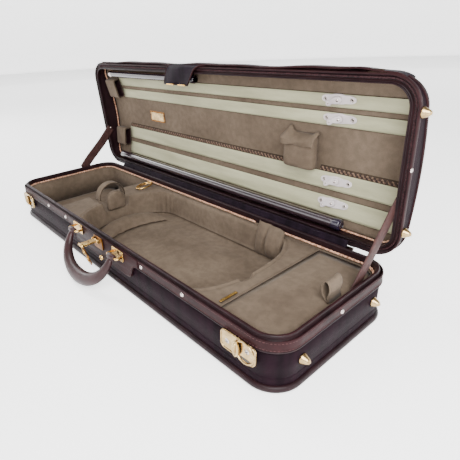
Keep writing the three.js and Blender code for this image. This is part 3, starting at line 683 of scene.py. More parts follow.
def violin_bed():
    """Lining over the bay and the plateau, with a skirt down to the case's floor."""
    xs = np.arange(-213.5, 279.5, 2.0)
    ys = np.linspace(-113.6, 113.6, 116)
    rows, columns, skirt = len(xs), len(ys), 8
    grid_x, grid_y = np.meshgrid(xs, ys, indexing="ij")
    z = bed_height(grid_x, grid_y)
    moved_x, moved_y = gathered(grid_x, grid_y)
    vertices = []
    for i, x in enumerate(xs):
        for j, y in enumerate(ys):
            rough = wrinkle(x, y, 0, 42, 0.9) + wrinkle(x, y, 9, 14, 0.25)
            vertices.append((moved_x[i, j], moved_y[i, j], min(z[i, j] + rough, BED_TOP + 1)))
    count = len(vertices)
    faces = grid_faces(rows, columns)
    rim = [i * columns for i in range(rows)]
    rim += [(rows - 1) * columns + j for j in range(1, columns)]
    rim += [i * columns + columns - 1 for i in range(rows - 2, -1, -1)]
    rim += list(range(columns - 2, 0, -1))
    for i, v in enumerate(rim):
        vertices.append((vertices[v][0], vertices[v][1], skirt))
        following = (i + 1) % len(rim)
        faces.append((v, rim[following], count + following, count + i))
    make("violin_bed", vertices, faces, VELVET, node="violin_bed")


def cushion(name, shape, low, high, finish, crown=2.0, dimple=0.5, seed=0, lean=None, **where):
    """A crowned pad over a closed outline, its edge pulled down to a seam."""
    steps = 10
    centre = (sum(x for x, _ in shape) / len(shape), sum(y for _, y in shape) / len(shape))
    rings = []
    for k in range(steps + 1):
        share = k / steps
        inwards = 1 - (1 - share) ** 1.6
        rise = math.sin(min(1, share * 1.6) * math.pi / 2) ** 0.7
        ring = []
        for x, y in shape:
            px = x + (centre[0] - x) * inwards
            py = y + (centre[1] - y) * inwards
            z = low + (high - crown - low) * rise + crown * (1 - (1 - share) ** 2)
            if lean:
                z = low + (z - low) * lean(px, py)
            ring.append((px, py, z + wrinkle(px, py, seed, 30, dimple) * rise))
        rings.append(ring)
    return skin(name, rings, finish, caps=(True, False), **where)


def bay_shape(shrink, steps=24):
    half = BAY_HALF - shrink
    right = [(BAY_RIGHT + (LOWER_REACH - shrink) * math.cos(a), half * math.sin(a))
             for a in np.linspace(-math.pi / 2, math.pi / 2, steps)]
    left = [(BAY_LEFT + (UPPER_REACH - shrink) * math.cos(a), half * math.sin(a))
            for a in np.linspace(math.pi / 2, 1.5 * math.pi, steps)]
    between = [(BAY_RIGHT - BAY_LEFT) / 10 * i for i in range(1, 10)]
    top = [(BAY_RIGHT - x, half) for x in between]
    foot = [(BAY_LEFT + x, -half) for x in between]
    return right + top + left + foot


def bay_cushions():
    floor = cushion("floor_pad", bay_shape(7), CASE_FLOOR, BAY_FLOOR + 2, VELVET, crown=1.2, dimple=1,
                    node="floor_pad")
    seam = walk(level(bay_shape(5.6), BAY_FLOOR + 1.6), 4)
    # The seam line is painted shade, in the shaded velvet.
    tube("floor_seam", seam, 0.8, SHADED_VELVET, 8, closed=True)
    steps = np.linspace(-0.84, 0.84, 26)
    back = [(BAY_LEFT - 66 * math.sqrt(1 - t * t), 98 * t) for t in steps]
    front = [(BAY_LEFT - 4 + 22 * t * t, 98 * t) for t in steps[::-1]]
    pad = cushion("upper_bout_pad", back + front, BAY_FLOOR, 29, VELVET, crown=5, dimple=1.6, seed=4,
                  lean=lambda x, y: 1.45 - 0.8 * smooth_step(x, -146, -84), node="upper_bout_pad")
    puff(pad, voxel=4, cap=3)


def scroll_cushion():
    end = -217
    edge = [(x, y) for x, y in outline(LIP_IN + 2.4, 30, 8, 8) if x < end]
    shape = [(end, edge[0][1]), *edge, (end, edge[-1][1])]
    floor = cushion("scroll_pad", shape, CASE_FLOOR, CASE_FLOOR + 10, VELVET, crown=1.5, dimple=0.9,
                    seed=7, node="scroll_pad")


def neck_pad():
    """Stuffed block under the neck."""
    half, foot, middle, top = 21.5, 41, 65, 82
    arch = [(half * math.cos(a), top - half + half * math.sin(a)) for a in np.linspace(math.pi, 0, 17)]
    shape = [(-half, foot), *arch, (half, foot)]
    rows = [(-166, 0.9), (-165, 0.97), (-158, 1.0), (-151, 0.97), (-150, 0.9)]
    rings = [[(x, y * size, middle + (z - middle) * size) for y, z in shape] for x, size in rows]
    pad = skin("neck_pad", rings, VELVET, caps=(True, True), node="neck_pad")
    puff(pad, voxel=3.5, cap=2)


def neck_strap():
    """Stiff padded strap arched over the neck."""
    half, foot, top = 30, 62.8, 95
    line = [(half, foot), *arc(0, top - half, half, 0, 180, 32), (-half, foot)]
    rings = []
    for i, (y, z) in enumerate(line):
        before, after = line[max(i - 1, 0)], line[min(i + 1, len(line) - 1)]
        tangent = Vector((0, after[0] - before[0], after[1] - before[1])).normalized()
        out = Vector((1, 0, 0)).cross(tangent)
        section = rounded(18, 3.6, 1.7, 4)
        rings.append([Vector((STRAP_X + across, y, z)) + out * thick for across, thick in section])
    strap = skin("neck_strap", rings, VELVET, caps=(True, True), body="neck_strap", node="neck_strap")
    for side, x in (("left", STRAP_X - 8.9), ("right", STRAP_X + 8.9)):
        edge = [(x, y * 0.995, z) for y, z in line]
        # The bindings are painted shade along the strap's edges, in the shaded velvet.
        tube(f"neck_strap_binding_{side}", edge, 1.1, SHADED_VELVET, 8, body="neck_strap")


def bay_flap():
    """Spare lining at the lower bout, pinched into two hanging folds with a slit between them."""
    slit = 0.4

    def place(u, v):
        depth = math.sin(math.pi * min(1, 0.04 + 0.96 * v) ** 0.9) ** 0.8
        left = u < slit
        share = u / slit if left else (u - slit) / (1 - slit)
        lobe = math.sin(math.pi * share) ** 0.45 * (10 if left else 17)
        x = 158 + 62 * u + (5 if left else -5) * depth * math.sin(math.pi * share)
        past = max(0, (x - BAY_RIGHT) / LOWER_REACH)
        wall = min(113.4, BAY_HALF * math.sqrt(max(0.05, 1 - past**2)) + 8) - 13 * v
        pleat = 0.8 * math.sin(34 * u) * depth
        return (x, wall - lobe * depth - pleat, 74.5 - 58 * v)

    flap = fabric("bay_flap", 24, 49, place, VELVET, 1.6)


def pocket_ring():
    """Oval brass ring that lies by the neck, in two turns."""
    turns = (("pocket_ring", 12.5, 20.5, 67.6, 2.2, 1.6), ("pocket_ring_inner", 9.4, 17, 65.4, 2.0, 1.1))
    for name, half_x, half_y, height, tilt, thick in turns:
        path = [(RING_X + half_x * math.cos(a), RING_Y + half_y * math.sin(a), height + tilt * math.sin(a))
                for a in np.linspace(0, 2 * math.pi, 48, endpoint=False)]
        node = name if name == "pocket_ring" else None
        tube(name, path, thick, BRASS, closed=True, node=node)


# ---- Accessory compartment ----
def compartment():
    shape = [(x, y) for x, y in outline(14.6, 40, 16, 8) if x > COMPARTMENT_X]
    lid = cushion("compartment_lid", shape, 63.2, 69.2, VELVET, crown=1.4, dimple=0.6, seed=12,
                  body="compartment_lid", node="compartment_lid")
    seam = walk(level(shape, 64.4), 3)
    tube("compartment_welt", seam, 0.6, VELVET, 8, closed=True, body="compartment_lid")
    floor = [(x, y) for x, y in outline(LIP_IN + 1.4, 40, 16, 8) if x > COMPARTMENT_X - 0.6]
    cushion("compartment_floor", floor, 6, 9, VELVET, crown=0.6, dimple=0.6, seed=20)
    plate("compartment_bar", rounded(4, 31, 0.8, 3), 62.4, 64.2, BRASS, origin=(275, -79.5, 0), edge=0.4)


def pull_loop():
    """Doubled velvet tab that stands on the compartment's lid."""
    low, high = 68.6, 86
    bend = [(370.8 + 5.6 * math.cos(a), high + 12 * math.sin(a)) for a in np.linspace(-0.9, 4, 21)]
    line = [(376.5, low), *bend, (374.4, low)]

    def place(u, v):
        x, z = line[round(v * (len(line) - 1))]
        sag = 0.8 * math.sin(math.pi * u) * (z - low) / 30
        return (x + 0.8 * math.sin(3 * u), 7 + 28 * (u - 0.5), z - sag)

    loop = fabric("pull_loop", len(line), 12, place, VELVET, 1.2, body="compartment_lid", node="pull_loop")


# ---- Front hardware ----
def front_panel():
    """Leather panel behind the handle; its upper corners sweep out into the band."""
    left = [(-118, 75), (-118, 61.5), (-110, 60), (-104, 56.5), (-100, 50), (-96.5, 42)]
    left += arc(-86, 43, 10, 180, 270, 6)
    shape = left + [(2 * PANEL_MIDDLE - x, z) for x, z in reversed(left)]
    panel = plate("front_panel", shape[::-1], -1.9, 1.9, BAND_LEATHER, axis="Y", origin=(0, FACE + 1.9, 0),
                  edge=1.0, node="front_panel")
    paint(panel, BAND_LEATHER, True)
    inner = [(x * 0.975 + 0.1, FACE - 0.2, 35.6 + (z - 33) * 0.93) for x, z in shape if z < 70]
    stitches("stitches_panel", inner, lambda point: (0, -1, 0))


def handle_brackets():
    half, bend = 15.2, 3
    turn = np.linspace(0, math.pi / 2, 6)[1:]
    for side, x in (("left", -HANDLE_REACH), ("right", HANDLE_REACH)):
        plate(f"bracket_plate_{side}", raised(rounded(34, 18, 3), HANDLE_Z), -1.1, 1.1, BRASS, axis="Y",
              origin=(x, PLATE_Y, 0), edge=0.6)
        path = [(x - half, FACE - 1, HANDLE_Z), (x - half, HANDLE_Y + bend, HANDLE_Z)]
        path += [(x - half + bend * (1 - math.cos(a)), HANDLE_Y + bend * (1 - math.sin(a)), HANDLE_Z)
                 for a in turn]
        path += [(2 * x - px, py, pz) for px, py, pz in reversed(path)]
        tube(f"handle_bracket_{side}", path, 2.0, BRASS, 10, node=f"handle_bracket_{side}")
        for name, dx in (("a", -11), ("b", 11)):
            screw(f"bracket_screw_{side}_{name}", (x + dx, PLATE_Y - 1.1, HANDLE_Z + 5.5), BRASS, 1.8)


def screw(name, place, finish, radius, axis=(0, -1, 0), **where):
    profile = [(0, 0.9), (radius * 0.5, 0.85), (radius * 0.85, 0.55), (radius, 0)]
    return lathe(name, profile, place, axis, finish, 16, **where)


def handle():
    """Padded leather grip: swelling arc, a raised seam round its outside, and a loop at each end."""
    sides, steps, hang = 20, 48, 57
    swing = Matrix.Translation((0, HANDLE_Y, HANDLE_Z)) @ Matrix.Rotation(-HANDLE_HANG, 4, "X")
    rings = []
    line = []
    for i in range(steps + 1):
        t = math.pi * i / steps
        x = -HANDLE_REACH * math.cos(t)
        centre = Vector((x, 0, -hang * math.sin(t) ** 0.85 - 3))
        out = Vector((x * 1.1, 0, -hang * math.sin(t))).normalized()
        radius = 4.6 + 7.2 * math.sin(t) ** 0.7
        line.append((centre, out, radius))
        ring = []
        for turn in (2 * math.pi * j / sides for j in range(sides)):
            seam = 1.06 if abs(math.cos(turn)) > 0.9 else 1.0
            across = radius * math.cos(turn) * seam
            depth = Vector((0, 0.86 * radius * math.sin(turn), 0))
            ring.append(swing @ (centre + depth + out * across))
        rings.append(ring)
    skin("handle_grip", rings, HANDLE_LEATHER, caps=(True, True), body="handle", node="handle")
    for name, side in (("outer", 1), ("inner", -1)):
        welt = [swing @ (centre + out * (radius * side * 1.02)) for centre, out, radius in line]
        tube(f"handle_welt_{name}", welt[2:-2], 0.7, DARK_LEATHER, 8, body="handle")
    for name, x in (("left", -HANDLE_REACH), ("right", HANDLE_REACH)):
        eye = [(x + dx, HANDLE_Y, HANDLE_Z) for dx in (-9, -8, 8, 9)]
        tube(f"handle_eye_{name}", eye, eye_radius, HANDLE_LEATHER, 18, body="handle")


def eye_radius(share):
    """Of the handle's end loops, a little less at both ends."""
    return 4.9 if 0 < share < 1 else 4.2


def lock():
    plate("lock_plate", raised(rounded(30, 22, 3), LOCK_Z), -1.1, 1.1, DARK_BRASS, axis="Y",
          origin=(LOCK_X, PLATE_Y, 0), edge=0.6, node="lock_plate")
    ear = arc(0, 0, 3.4, -90, 90, 8) + [(-6, 3.4), (-6, -3.4)]
    ear = [(HASP_Y - out, HASP_Z + up) for out, up in ear]
    for side, x in (("left", LOCK_X - 9), ("right", LOCK_X + 9)):
        plate(f"lock_ear_{side}", ear, -1.2, 1.2, BRASS, axis="X", origin=(x, 0, 0), edge=0.3)


def hasp_arm():
    plate("hasp_arm", rounded(13, 29, 2), -1.7, 1.7, BRASS, origin=(LOCK_X, HASP_Y - HASP_REACH / 2, HASP_Z),
          edge=0.6, body="hasp_arm", node="hasp_arm")
    for name, y in (("near", HASP_Y), ("far", HASP_Y - HASP_REACH)):
        line = [(LOCK_X - 6.5, y, HASP_Z), (LOCK_X + 6.5, y, HASP_Z)]
        tube(f"hasp_barrel_{name}", line, 2.7, BRASS, 20, body="hasp_arm")
    screw("hasp_rivet", (LOCK_X, HASP_Y - 14, HASP_Z + 1.6), DARK_BRASS, 2.2, (0, 0, 1), body="hasp_arm")


def hasp_tongue():
    """Waisted tongue that hangs from the arm's far barrel, leaning a little, and the boss it locks over."""
    lean = Matrix.Translation((LOCK_X, HASP_Y - HASP_REACH, HASP_Z)) @ Matrix.Rotation(0.27, 4, "X")
    half = [(0, -44), (4, -42), (6.5, -36), (6.5, -24), (4.8, -22), (6.5, -20), (6.5, -8), (3, -5)]
    shape = [(-x, z) for x, z in half[:0:-1]] + half
    tongue = plate("hasp_tongue", shape, -0.95, 0.95, DARK_BRASS, axis="Y", edge=0.4, body="hasp_tongue",
                   node="hasp_tongue")
    pieces = [tongue]
    for name, drop in (("upper", -14), ("lower", -31)):
        ring = [(x, -1.2, z) for x, z in circle(0, drop, 4, 24, 1.25)]
        pieces.append(tube(f"hasp_relief_{name}", ring, 0.7, BRASS, 8, closed=True, body="hasp_tongue"))
    pieces.append(tube("hasp_tongue_eye", [(-3, 0, 0), (3, 0, 0)], 2.3, BRASS, 16, body="hasp_tongue"))
    pieces.append(tube("hasp_tongue_neck", [(0, 0, -1), (0, 0, -7)], 1.6, BRASS, 12, body="hasp_tongue"))
    for piece in pieces:
        place_with(piece, lean)
    boss = [(0, 1.4), (1.6, 1.4), (2.0, 2.6), (3.2, 3.0), (4.2, 2.4), (4.6, 0)]
    lathe("keyhole_boss", boss, (LOCK_X, FACE - 0.2, 33), (0, -1, 0), BRASS, node="keyhole_boss")


def place_with(obj, matrix):
    """Moves a piece drawn at the origin to its place, in the mesh itself."""
    scale = Matrix.Scale(0.001, 4)
    obj.data.transform(scale @ matrix @ scale.inverted())
    return obj


def latches():
    """Turn latches: a rimmed plate with two cross-head screws, a ring on its right half and a knob."""
    for side, x in (("left", -LATCH_X), ("right", LATCH_X)):
        plate(f"latch_plate_{side}", raised(rounded(56, 28, 7), LATCH_Z), -1.1, 1.1, PALE_GOLD, axis="Y",
              origin=(x, FACE - 0.1, 0), edge=0.5, node=f"latch_plate_{side}")
        rim = [(x + px, FACE - 1.3, LATCH_Z + pz) for px, pz in rounded(54, 26, 6.4)]
        tube(f"latch_rim_{side}", rim, 0.9, PALE_GOLD, 8, closed=True)
        ring = [(px, FACE - 2.2, pz) for px, pz in circle(x + 12, LATCH_Z, 14.4, 48)]
        tube(f"latch_ring_{side}", ring, 1.3, PALE_GOLD, 10, closed=True)
        # The latch's slot is a thin dark plate: painted shade in the slot.
        slot = raised(rounded(15, 2.6, 1.2, 4), LATCH_Z - 10)
        plate(f"latch_slot_{side}", slot, -0.2, 0.2, SLOT_SHADE, axis="Y", origin=(x + 12, FACE - 1.4, 0), edge=0.1)
        latch_screw(f"{side}_a", x - 17, LATCH_Z - 1)
        latch_screw(f"{side}_b", x + 15, LATCH_Z + 3)
        latch_knob(side, x)


def latch_screw(name, x, z):
    screw(f"latch_screw_{name}", (x, FACE - 1.2, z), SNAP, 3.6)
    # Dark crosses on the screw heads: painted shade in the recesses.
    for turn in (30, 120):
        dx, dz = 2.4 * math.cos(math.radians(turn)), 2.4 * math.sin(math.radians(turn))
        cross = [(x - dx, FACE - 2.05, z - dz), (x + dx, FACE - 2.05, z + dz)]
        tube(f"latch_cross_{name}_{turn}", cross, 0.42, SLOT_SHADE, 6)


def latch_knob(side, x):
    name = f"latch_knob_{side}"
    leaf = rounded_off([(0, 12.5), (-4.5, 8), (-6, 0), (-4.5, -8), (0, -12.5), (4.5, -8), (6, 0), (4.5, 8)])
    plate(name, raised(leaf, LATCH_Z), -1.5, 1.5, PALE_GOLD, axis="Y", origin=(x, FACE - 4.4, 0), edge=0.9,
          body=name, node=name)
    ridge = [(x, FACE - out, LATCH_Z + dz) for out, dz in ((5.6, -8.5), (6.3, -4), (6.3, 4), (5.6, 8.5))]
    tube(f"latch_ridge_{side}", ridge, 1.3, PALE_GOLD, 10, body=name)


def studs_and_snaps():
    stud = [(0, 0.1), (6.9, 0.1), (7.1, 0.9), (6.8, 1.8), (6.0, 3.4), (5.0, 5.6), (3.9, 7.8), (2.7, 9.6)]
    stud += [(1.4, 10.6), (0, 10.9)]
    for end, y in (("front", -78), ("back", 78)):
        lathe(f"base_stud_{end}", stud, (393.2, y, 38), (1, 0, 0), PALE_GOLD, node=f"base_stud_{end}")
    for end, y in (("front", -80), ("back", 80)):
        lathe(f"lid_stud_{end}", stud, (393.9, y, LID_Z + 10), (1, 0, 0), PALE_GOLD, node=f"lid_stud_{end}",
              **WITH_LID)
    dome = [(0, 2.2), (1.6, 2.0), (2.8, 1.3), (3.4, 0.3), (3.4, 0)]
    for number, x in enumerate((-219, -134, 134, 233)):
        lathe(f"snap_front_{number}", dome, (x, -123.9, 67), (0, -1, 0), SNAP, 18)
    lathe("snap_end", dome, (394.9, -5, 66), (1, 0, 0), SNAP, 18)
    lathe("snap_lid_end", dome, (393.6, -10.5, LID_Z + 4), (1, 0, 0), SNAP, 18, **WITH_LID)


# ---- Lid ----
def inner_rings(start, height):
    """Rings from an inset in to the middle line of the lid, at the height of an arched surface."""
    last = 38.5
    rings = [[(x, y, height(y)) for x, y in outline(inset)] for inset in np.linspace(start, last, 5)]
    spine = LENGTH / 2 - WIDTH / 2
    for share in np.linspace(0.1, 1, 12):
        ring = []
        for x, y in outline(last):
            px = x + (max(-spine, min(spine, x)) - x) * share
            py = y * (1 - share)
            ring.append((px, py, height(py)))
        rings.append(ring)
    return rings


def welt_height(y):
    return LID_Z + 31.3 - CURVE * y * y


def roof_height(y):
    return LID_Z + ROOF - CURVE * y * y


def ceiling_height(y):
    return LID_Z + CEILING - CURVE * y * y


def upright(plan, foot, top, count):
    """Rings of a wall that stands on foot and ends at the height top(y)."""
    return [[(x, y, foot + (top(y) - foot) * share) for x, y in plan] for share in np.linspace(0, 1, count)]


def lid_shell():
    wall = outline(LID_IN)
    side = upright(wall, LID_Z + 8.4, welt_height, 4)
    skin("lid_side", side, CANVAS, node="lid_shell", **WITH_LID)
    roof = [[(x, y, welt_height(y)) for x, y in wall]]
    for a in np.linspace(0, math.pi / 2, 8):
        inset = LID_IN + SHOULDER * (1 - math.cos(a))
        drop = SHOULDER * (1 - math.sin(a))
        roof.append([(x, y, roof_height(y) - drop) for x, y in outline(inset)])
    roof += inner_rings(LID_IN + SHOULDER + 3, roof_height)
    skin("lid_roof", roof, LID_CANVAS, **WITH_LID)
    lining = upright(outline(LID_LINING + 0.8), LID_Z + 1, ceiling_height, 5)
    thicken(skin("lid_wall_lining", lining, DARK_LEATHER, **WITH_LID), 0.8, -1)


def lid_trim():
    moulding("lid_piping", arc(LID_IN + 0.2, 0, 1.8, 90, 270, 8), BAND_LEATHER, lift=welt_height,
             node="lid_piping", **WITH_LID)
    rim = [(1.5, 8), (1.5, 0.8), (2.3, 0), (3.1, 0.4), (3.5, 5.6)]
    rim += [(11, 5.6), (11.2, 0.7), (12, 0), (12.8, 0.5), (13, 1.4), (13, 8)]
    moulding("lid_rim", raised(rim, LID_Z), DARK_LEATHER, node="lid_rim", **WITH_LID)
    band = [(0.7, 7.2), (0.6, 1.2), (1.4, 0.1), (2.6, 0.2), (2.6, 1.4), (1.8, 8.2), (1.0, 8.2)]
    moulding("lid_band", raised(band, LID_Z), BAND_LEATHER, **WITH_LID)
    cord = walk(level(outline(6.6), LID_Z + 6), 1.1)
    tube("lid_rim_cord", cord, 1.6, RIM_CORD, sides=8, closed=True, strands=2, pitch=4.4, **WITH_LID)
    bead = level(outline(9.6), LID_Z + 5.6)
    tube("lid_rim_bead", bead, 0.9, BAND_LEATHER, sides=8, closed=True, **WITH_LID)
    rope = walk([(x, y, ceiling_height(y) - 4.6) for x, y in outline(12)], 1.2)
    tube("lid_rope", rope, 1.7, ROPE, sides=8, closed=True, strands=2, pitch=6.4, node="lid_rope", **WITH_LID)


def lid_ceiling():
    front = inner_rings(LID_LINING + 0.5, ceiling_height)
    back = inner_rings(LID_LINING + 0.5, lambda y: ceiling_height(y) + 1.6)
    skin("lid_panel", front[::-1] + back, VELVET, node="lid_panel", **WITH_LID)
    for number, (low, high) in enumerate(((-89.5, -69.5), (-62, -41), (31.5, 59.5), (69, 98)), 1):
        cloth = strip(f"satin_strip_{number}", low, high, SATIN_LEFT, SATIN_RIGHT, SATIN, 0.9)
        for side, y in (("a", low), ("b", high)):
            edge = [(x, y, ceiling_height(y) - 1) for x in np.linspace(SATIN_LEFT, SATIN_RIGHT, 60)]
            # Cords of painted shade along the strips' edges, in the shaded velvet.
            tube(f"satin_edge_{number}{side}", edge, 0.55, SHADED_VELVET, 6, **WITH_LID)


def strip(name, low, high, left, right, finish, proud):
    """Slightly crowned strip of cloth along the ceiling."""

    def place(u, v):
        y = low + (high - low) * u
        return (left + (right - left) * v, y, ceiling_height(y) - proud - 0.5 * math.sin(math.pi * u))

    return fabric(name, 60, 8, place, finish, 0.5, -1, **WITH_LID)


def on_ceiling(x, y, clear=0.4):
    """Where a piece drawn at the origin goes to lie on the closed lid's ceiling at (x, y)."""
    tilt = Matrix.Rotation(math.atan(-2 * CURVE * y), 4, "X")
    return Matrix.Translation((x, y, ceiling_height(y) - clear)) @ tilt


def on_lid(obj, spot):
    return place_with(obj, LID_SWING @ spot)


def spinner_plate(number, spot):
    lobes = []
    for a in np.linspace(0, 2 * math.pi, 64, endpoint=False):
        x = 27 * math.copysign(abs(math.cos(a)) ** 0.8, math.cos(a))
        y = 7.6 * math.copysign(abs(math.sin(a)) ** 0.8, math.sin(a))
        waist = math.exp(-(((abs(x) - 12) / 5) ** 2))
        lobes.append((x, y * (1 - 0.16 * waist)))
    name = f"bow_spinner_plate_{number}"
    holes = [circle(x, 0, 2.1, 12)[::-1] for x in (-21, 21)]
    on_lid(plate(name, lobes, -2.6, -0.2, ENAMEL, edge=0.7, holes=holes, body="lid", node=name), spot)
    for side, x in (("a", -21), ("b", 21)):
        ring = level(circle(x, 0, 2.5, 16), -2.7)
        on_lid(tube(f"spinner_eyelet_{number}{side}", ring, 0.5, SNAP, 6, closed=True, body="lid"), spot)
        # The dark screw in each hole is painted shade of the hole.
        on_lid(screw(f"spinner_screw_{number}{side}", (x, 0, -0.6), SLOT_SHADE, 2.0, (0, 0, -1), body="lid"), spot)


def spinner_lever(number, spot):
    name = f"bow_spinner_lever_{number}"
    arm = [(5, 4), (-1, 5.6), (-6, 4.6), (-10, 2.6), (-15, 4.6), (-19.5, 4), (-21, 0)]
    arm += [(-18, -3.4), (-12, -3.0), (-7, -4.4), (-1, -5.6), (5, -4), (6.4, 0)]
    on_lid(plate(name, rounded_off(arm), -6.4, -2.9, ENAMEL, edge=1.0, body=name, node=name), spot)
    for part, x, size in (("pivot", 0, 2.2), ("tip", -16, 1.3)):
        on_lid(screw(f"spinner_{part}_{number}", (x, 0, -6.3), SNAP, size, (0, 0, -1), body=name), spot)


def spinners():
    for number, y in enumerate(SPINNER_ROWS, 1):
        spot = on_ceiling(SPINNER_X, y, 0.8)
        spinner_plate(number, spot)
        spinner_lever(number, spot @ Matrix.Rotation(-LEVER_DROOP, 4, "Z"))


def rounded_off(points):
    """Cuts the corners of a closed outline twice so that it runs smoothly."""
    for _ in range(2):
        cut = []
        for i, (x, y) in enumerate(points):
            nx, ny = points[(i + 1) % len(points)]
            cut += [(x + (nx - x) * share, y + (ny - y) * share) for share in (0.25, 0.75)]
        points = cut
    return points


def tip_pockets():
    """Velvet boxes with a dark lining and a rolled mouth that take the bow tips."""
    middle = -10.2
    profile = rounded(44, 18.6, 5, 5)
    hollow = rounded(37.6, 13.4, 3.4, 5)

    def rings(ring, *rows):
        return [[(x, py * size, pz * size + middle) for py, pz in ring] for x, size in rows]

    outer = rings(profile, (-20.5, 0.92), (-19, 1), (19.5, 1), (21, 0.97)) + rings(hollow, (21.4, 1.04))
    inner = rings(hollow, (21.2, 1.04), (20, 1), (-16, 1), (-16, 0.02))
    mouth = [(20.6, py * 0.93, pz * 0.88 + middle) for py, pz in profile]
    for place, y in (("upper", -65), ("lower", 58)):
        spot = on_ceiling(-349, y)
        name = f"bow_tip_pocket_{place}"
        on_lid(skin(name, outer, VELVET, caps=(True, False), body="lid", node=name), spot)
        on_lid(skin(f"pocket_lining_{place}", inner, DARK_LEATHER, body="lid"), spot)
        # The rolled mouth is painted shade at the pocket's opening, in the shaded velvet.
        on_lid(tube(f"pocket_roll_{place}", mouth, 1.2, SHADED_VELVET, 8, closed=True, body="lid"), spot)


def nameplate():
    """Blank plate in a darker frame."""
    frame_plate = plate("nameplate", rounded(56, 24, 1.2), -1.2, -0.2, DARK_BRASS, edge=0.3, body="lid",
                        node="nameplate")
    face = plate("nameplate_face", rounded(49, 17.5, 0.8), -1.7, -0.8, PALE_GOLD, edge=0.3, body="lid")
    border = level(rounded(45, 13.5, 0.6), -1.75)
    line = tube("nameplate_border", border, 0.3, DARK_BRASS, 6, closed=True, body="lid")
    for piece in (frame_plate, face, line):
        on_lid(piece, on_ceiling(-200, -5, 0.5))


def lace():
    """Braided lace along the middle of the ceiling, over a dark tape; its pale strand is painted highlight on
    the braid.
    """
    half, pitch, step = 5, 7.5, 1.2
    for part, left, right in (("left", -322, 174), ("right", 242, 378)):
        # The tape is dark cloth, darkened further as painted shade under the lace.
        tape = strip(f"lace_tape_{part}", LACE_Y - half, LACE_Y + half, left, right, SHADED_VELVET, 0.4)
        count = int((right - left) / step)
        # Strand 1 is painted pale as the braid's highlight.
        for number, finish, phase in ((1, LACE_HIGHLIGHT, 0), (2, DARK_LACE, math.pi)):
            path = []
            for i in range(count + 1):
                x = left + (right - left) * i / count
                turn = 2 * math.pi * x / pitch + phase
                y = LACE_Y + 2.6 * math.sin(turn)
                path.append((x, y, ceiling_height(y) - 1.5 - 0.4 * math.cos(turn)))
            tube(f"lace_{part}_{number}", path, 1.0, finish, 6, **WITH_LID)


def pouch():
    """Soft bag on the ceiling: boxy, sagging at the foot, with a folded flap pinched up at one corner."""
    spot = on_ceiling(208, 4, 1.6)
    rings = []
    for depth, size in ((-1.2, 0.98), (-4, 1.0), (-10, 1.0), (-16, 0.96), (-19, 0.88)):
        ring = []
        for x, y in rounded(60, 56, 5, 4):
            pull = 1 + 0.05 * math.cos(2 * math.pi * x / 60)
            ring.append((x * size, y * size * pull + 1, depth + 1.2 * math.sin(x / 9 + y / 14)))
        rings.append(ring)
    bag = skin("lid_pouch", rings, VELVET, caps=(True, True), body="lid", node="lid_pouch")
    puff(bag, voxel=4, cap=3)
    on_lid(bag, spot)
    flap = fabric("pouch_flap", 14, 26, pouch_flap_point, VELVET, 1.6, -1, body="lid")
    on_lid(flap, spot)


def pouch_flap_point(u, v):
    pinch = 11 * math.exp(-((u - 0.14) / 0.09) ** 2) + 5 * math.exp(-((u - 0.93) / 0.08) ** 2)
    y = -29 - pinch * (1 - v) ** 2 + 17 * v + 1.6 * math.sin(12 * u) * v
    z = -2 - 19.6 * math.sin(math.pi / 2 * min(1, 1.7 * v)) - 1.4 * math.sin(9 * u + 5 * v)
    return (-31.5 + 63 * u, y, z)


def string_tube():
    line = [(x, TUBE_Y, TUBE_Z) for x in (-346, -345, 0, 285, 286)]
    tube("string_tube", line, 8.5, TUBE, 28, node="string_tube", **WITH_LID)
    where = {"body": "string_tube_cap", "lid": True}
    cap = [(0, 14), (6.4, 14), (7.6, 13.6), (9.2, 12.6), (9.4, 11)]
    cap += [(9.4, 1.4), (9.0, 0.6), (6.4, 0.4), (6.4, -10)]
    place = (286, TUBE_Y, TUBE_Z)
    lathe("string_tube_cap", cap, place, (1, 0, 0), TUBE_CAP, 32, node="string_tube_cap", **where)
    ring = [(300.2, y, z) for y, z in circle(TUBE_Y, TUBE_Z, 5.6, 32)]
    tube("tube_cap_ring", ring, 0.6, TUBE, 6, closed=True, **where)


def short_tube():
    line = [(x, SHORT_TUBE_Y, SHORT_TUBE_Z) for x in (-344, -343, -100, -25, -24)]
    tube("short_tube", line, 7.2, TUBE, 24, node="short_tube", **WITH_LID)
    end = [(0, 5), (5.4, 5), (7.2, 4.2), (7.8, 3), (7.8, -7), (7.3, -7.6)]
    for name, x, way, finish in (("collar", -29, 1, TUBE_CAP), ("ferrule", -339, -1, SNAP)):
        place = (x, SHORT_TUBE_Y, SHORT_TUBE_Z)
        lathe(f"short_tube_{name}", end, place, (way, 0, 0), finish, 24, **WITH_LID)


def lid_front(x, inset):
    """y of the closed lid's front wall at x, round the corners too, moved in by inset."""
    past = max(0, abs(x) - (LENGTH / 2 - CORNER))
    radius = CORNER - LID_IN
    return -(WIDTH / 2 - CORNER + math.sqrt(max(0, radius**2 - past**2))) + inset


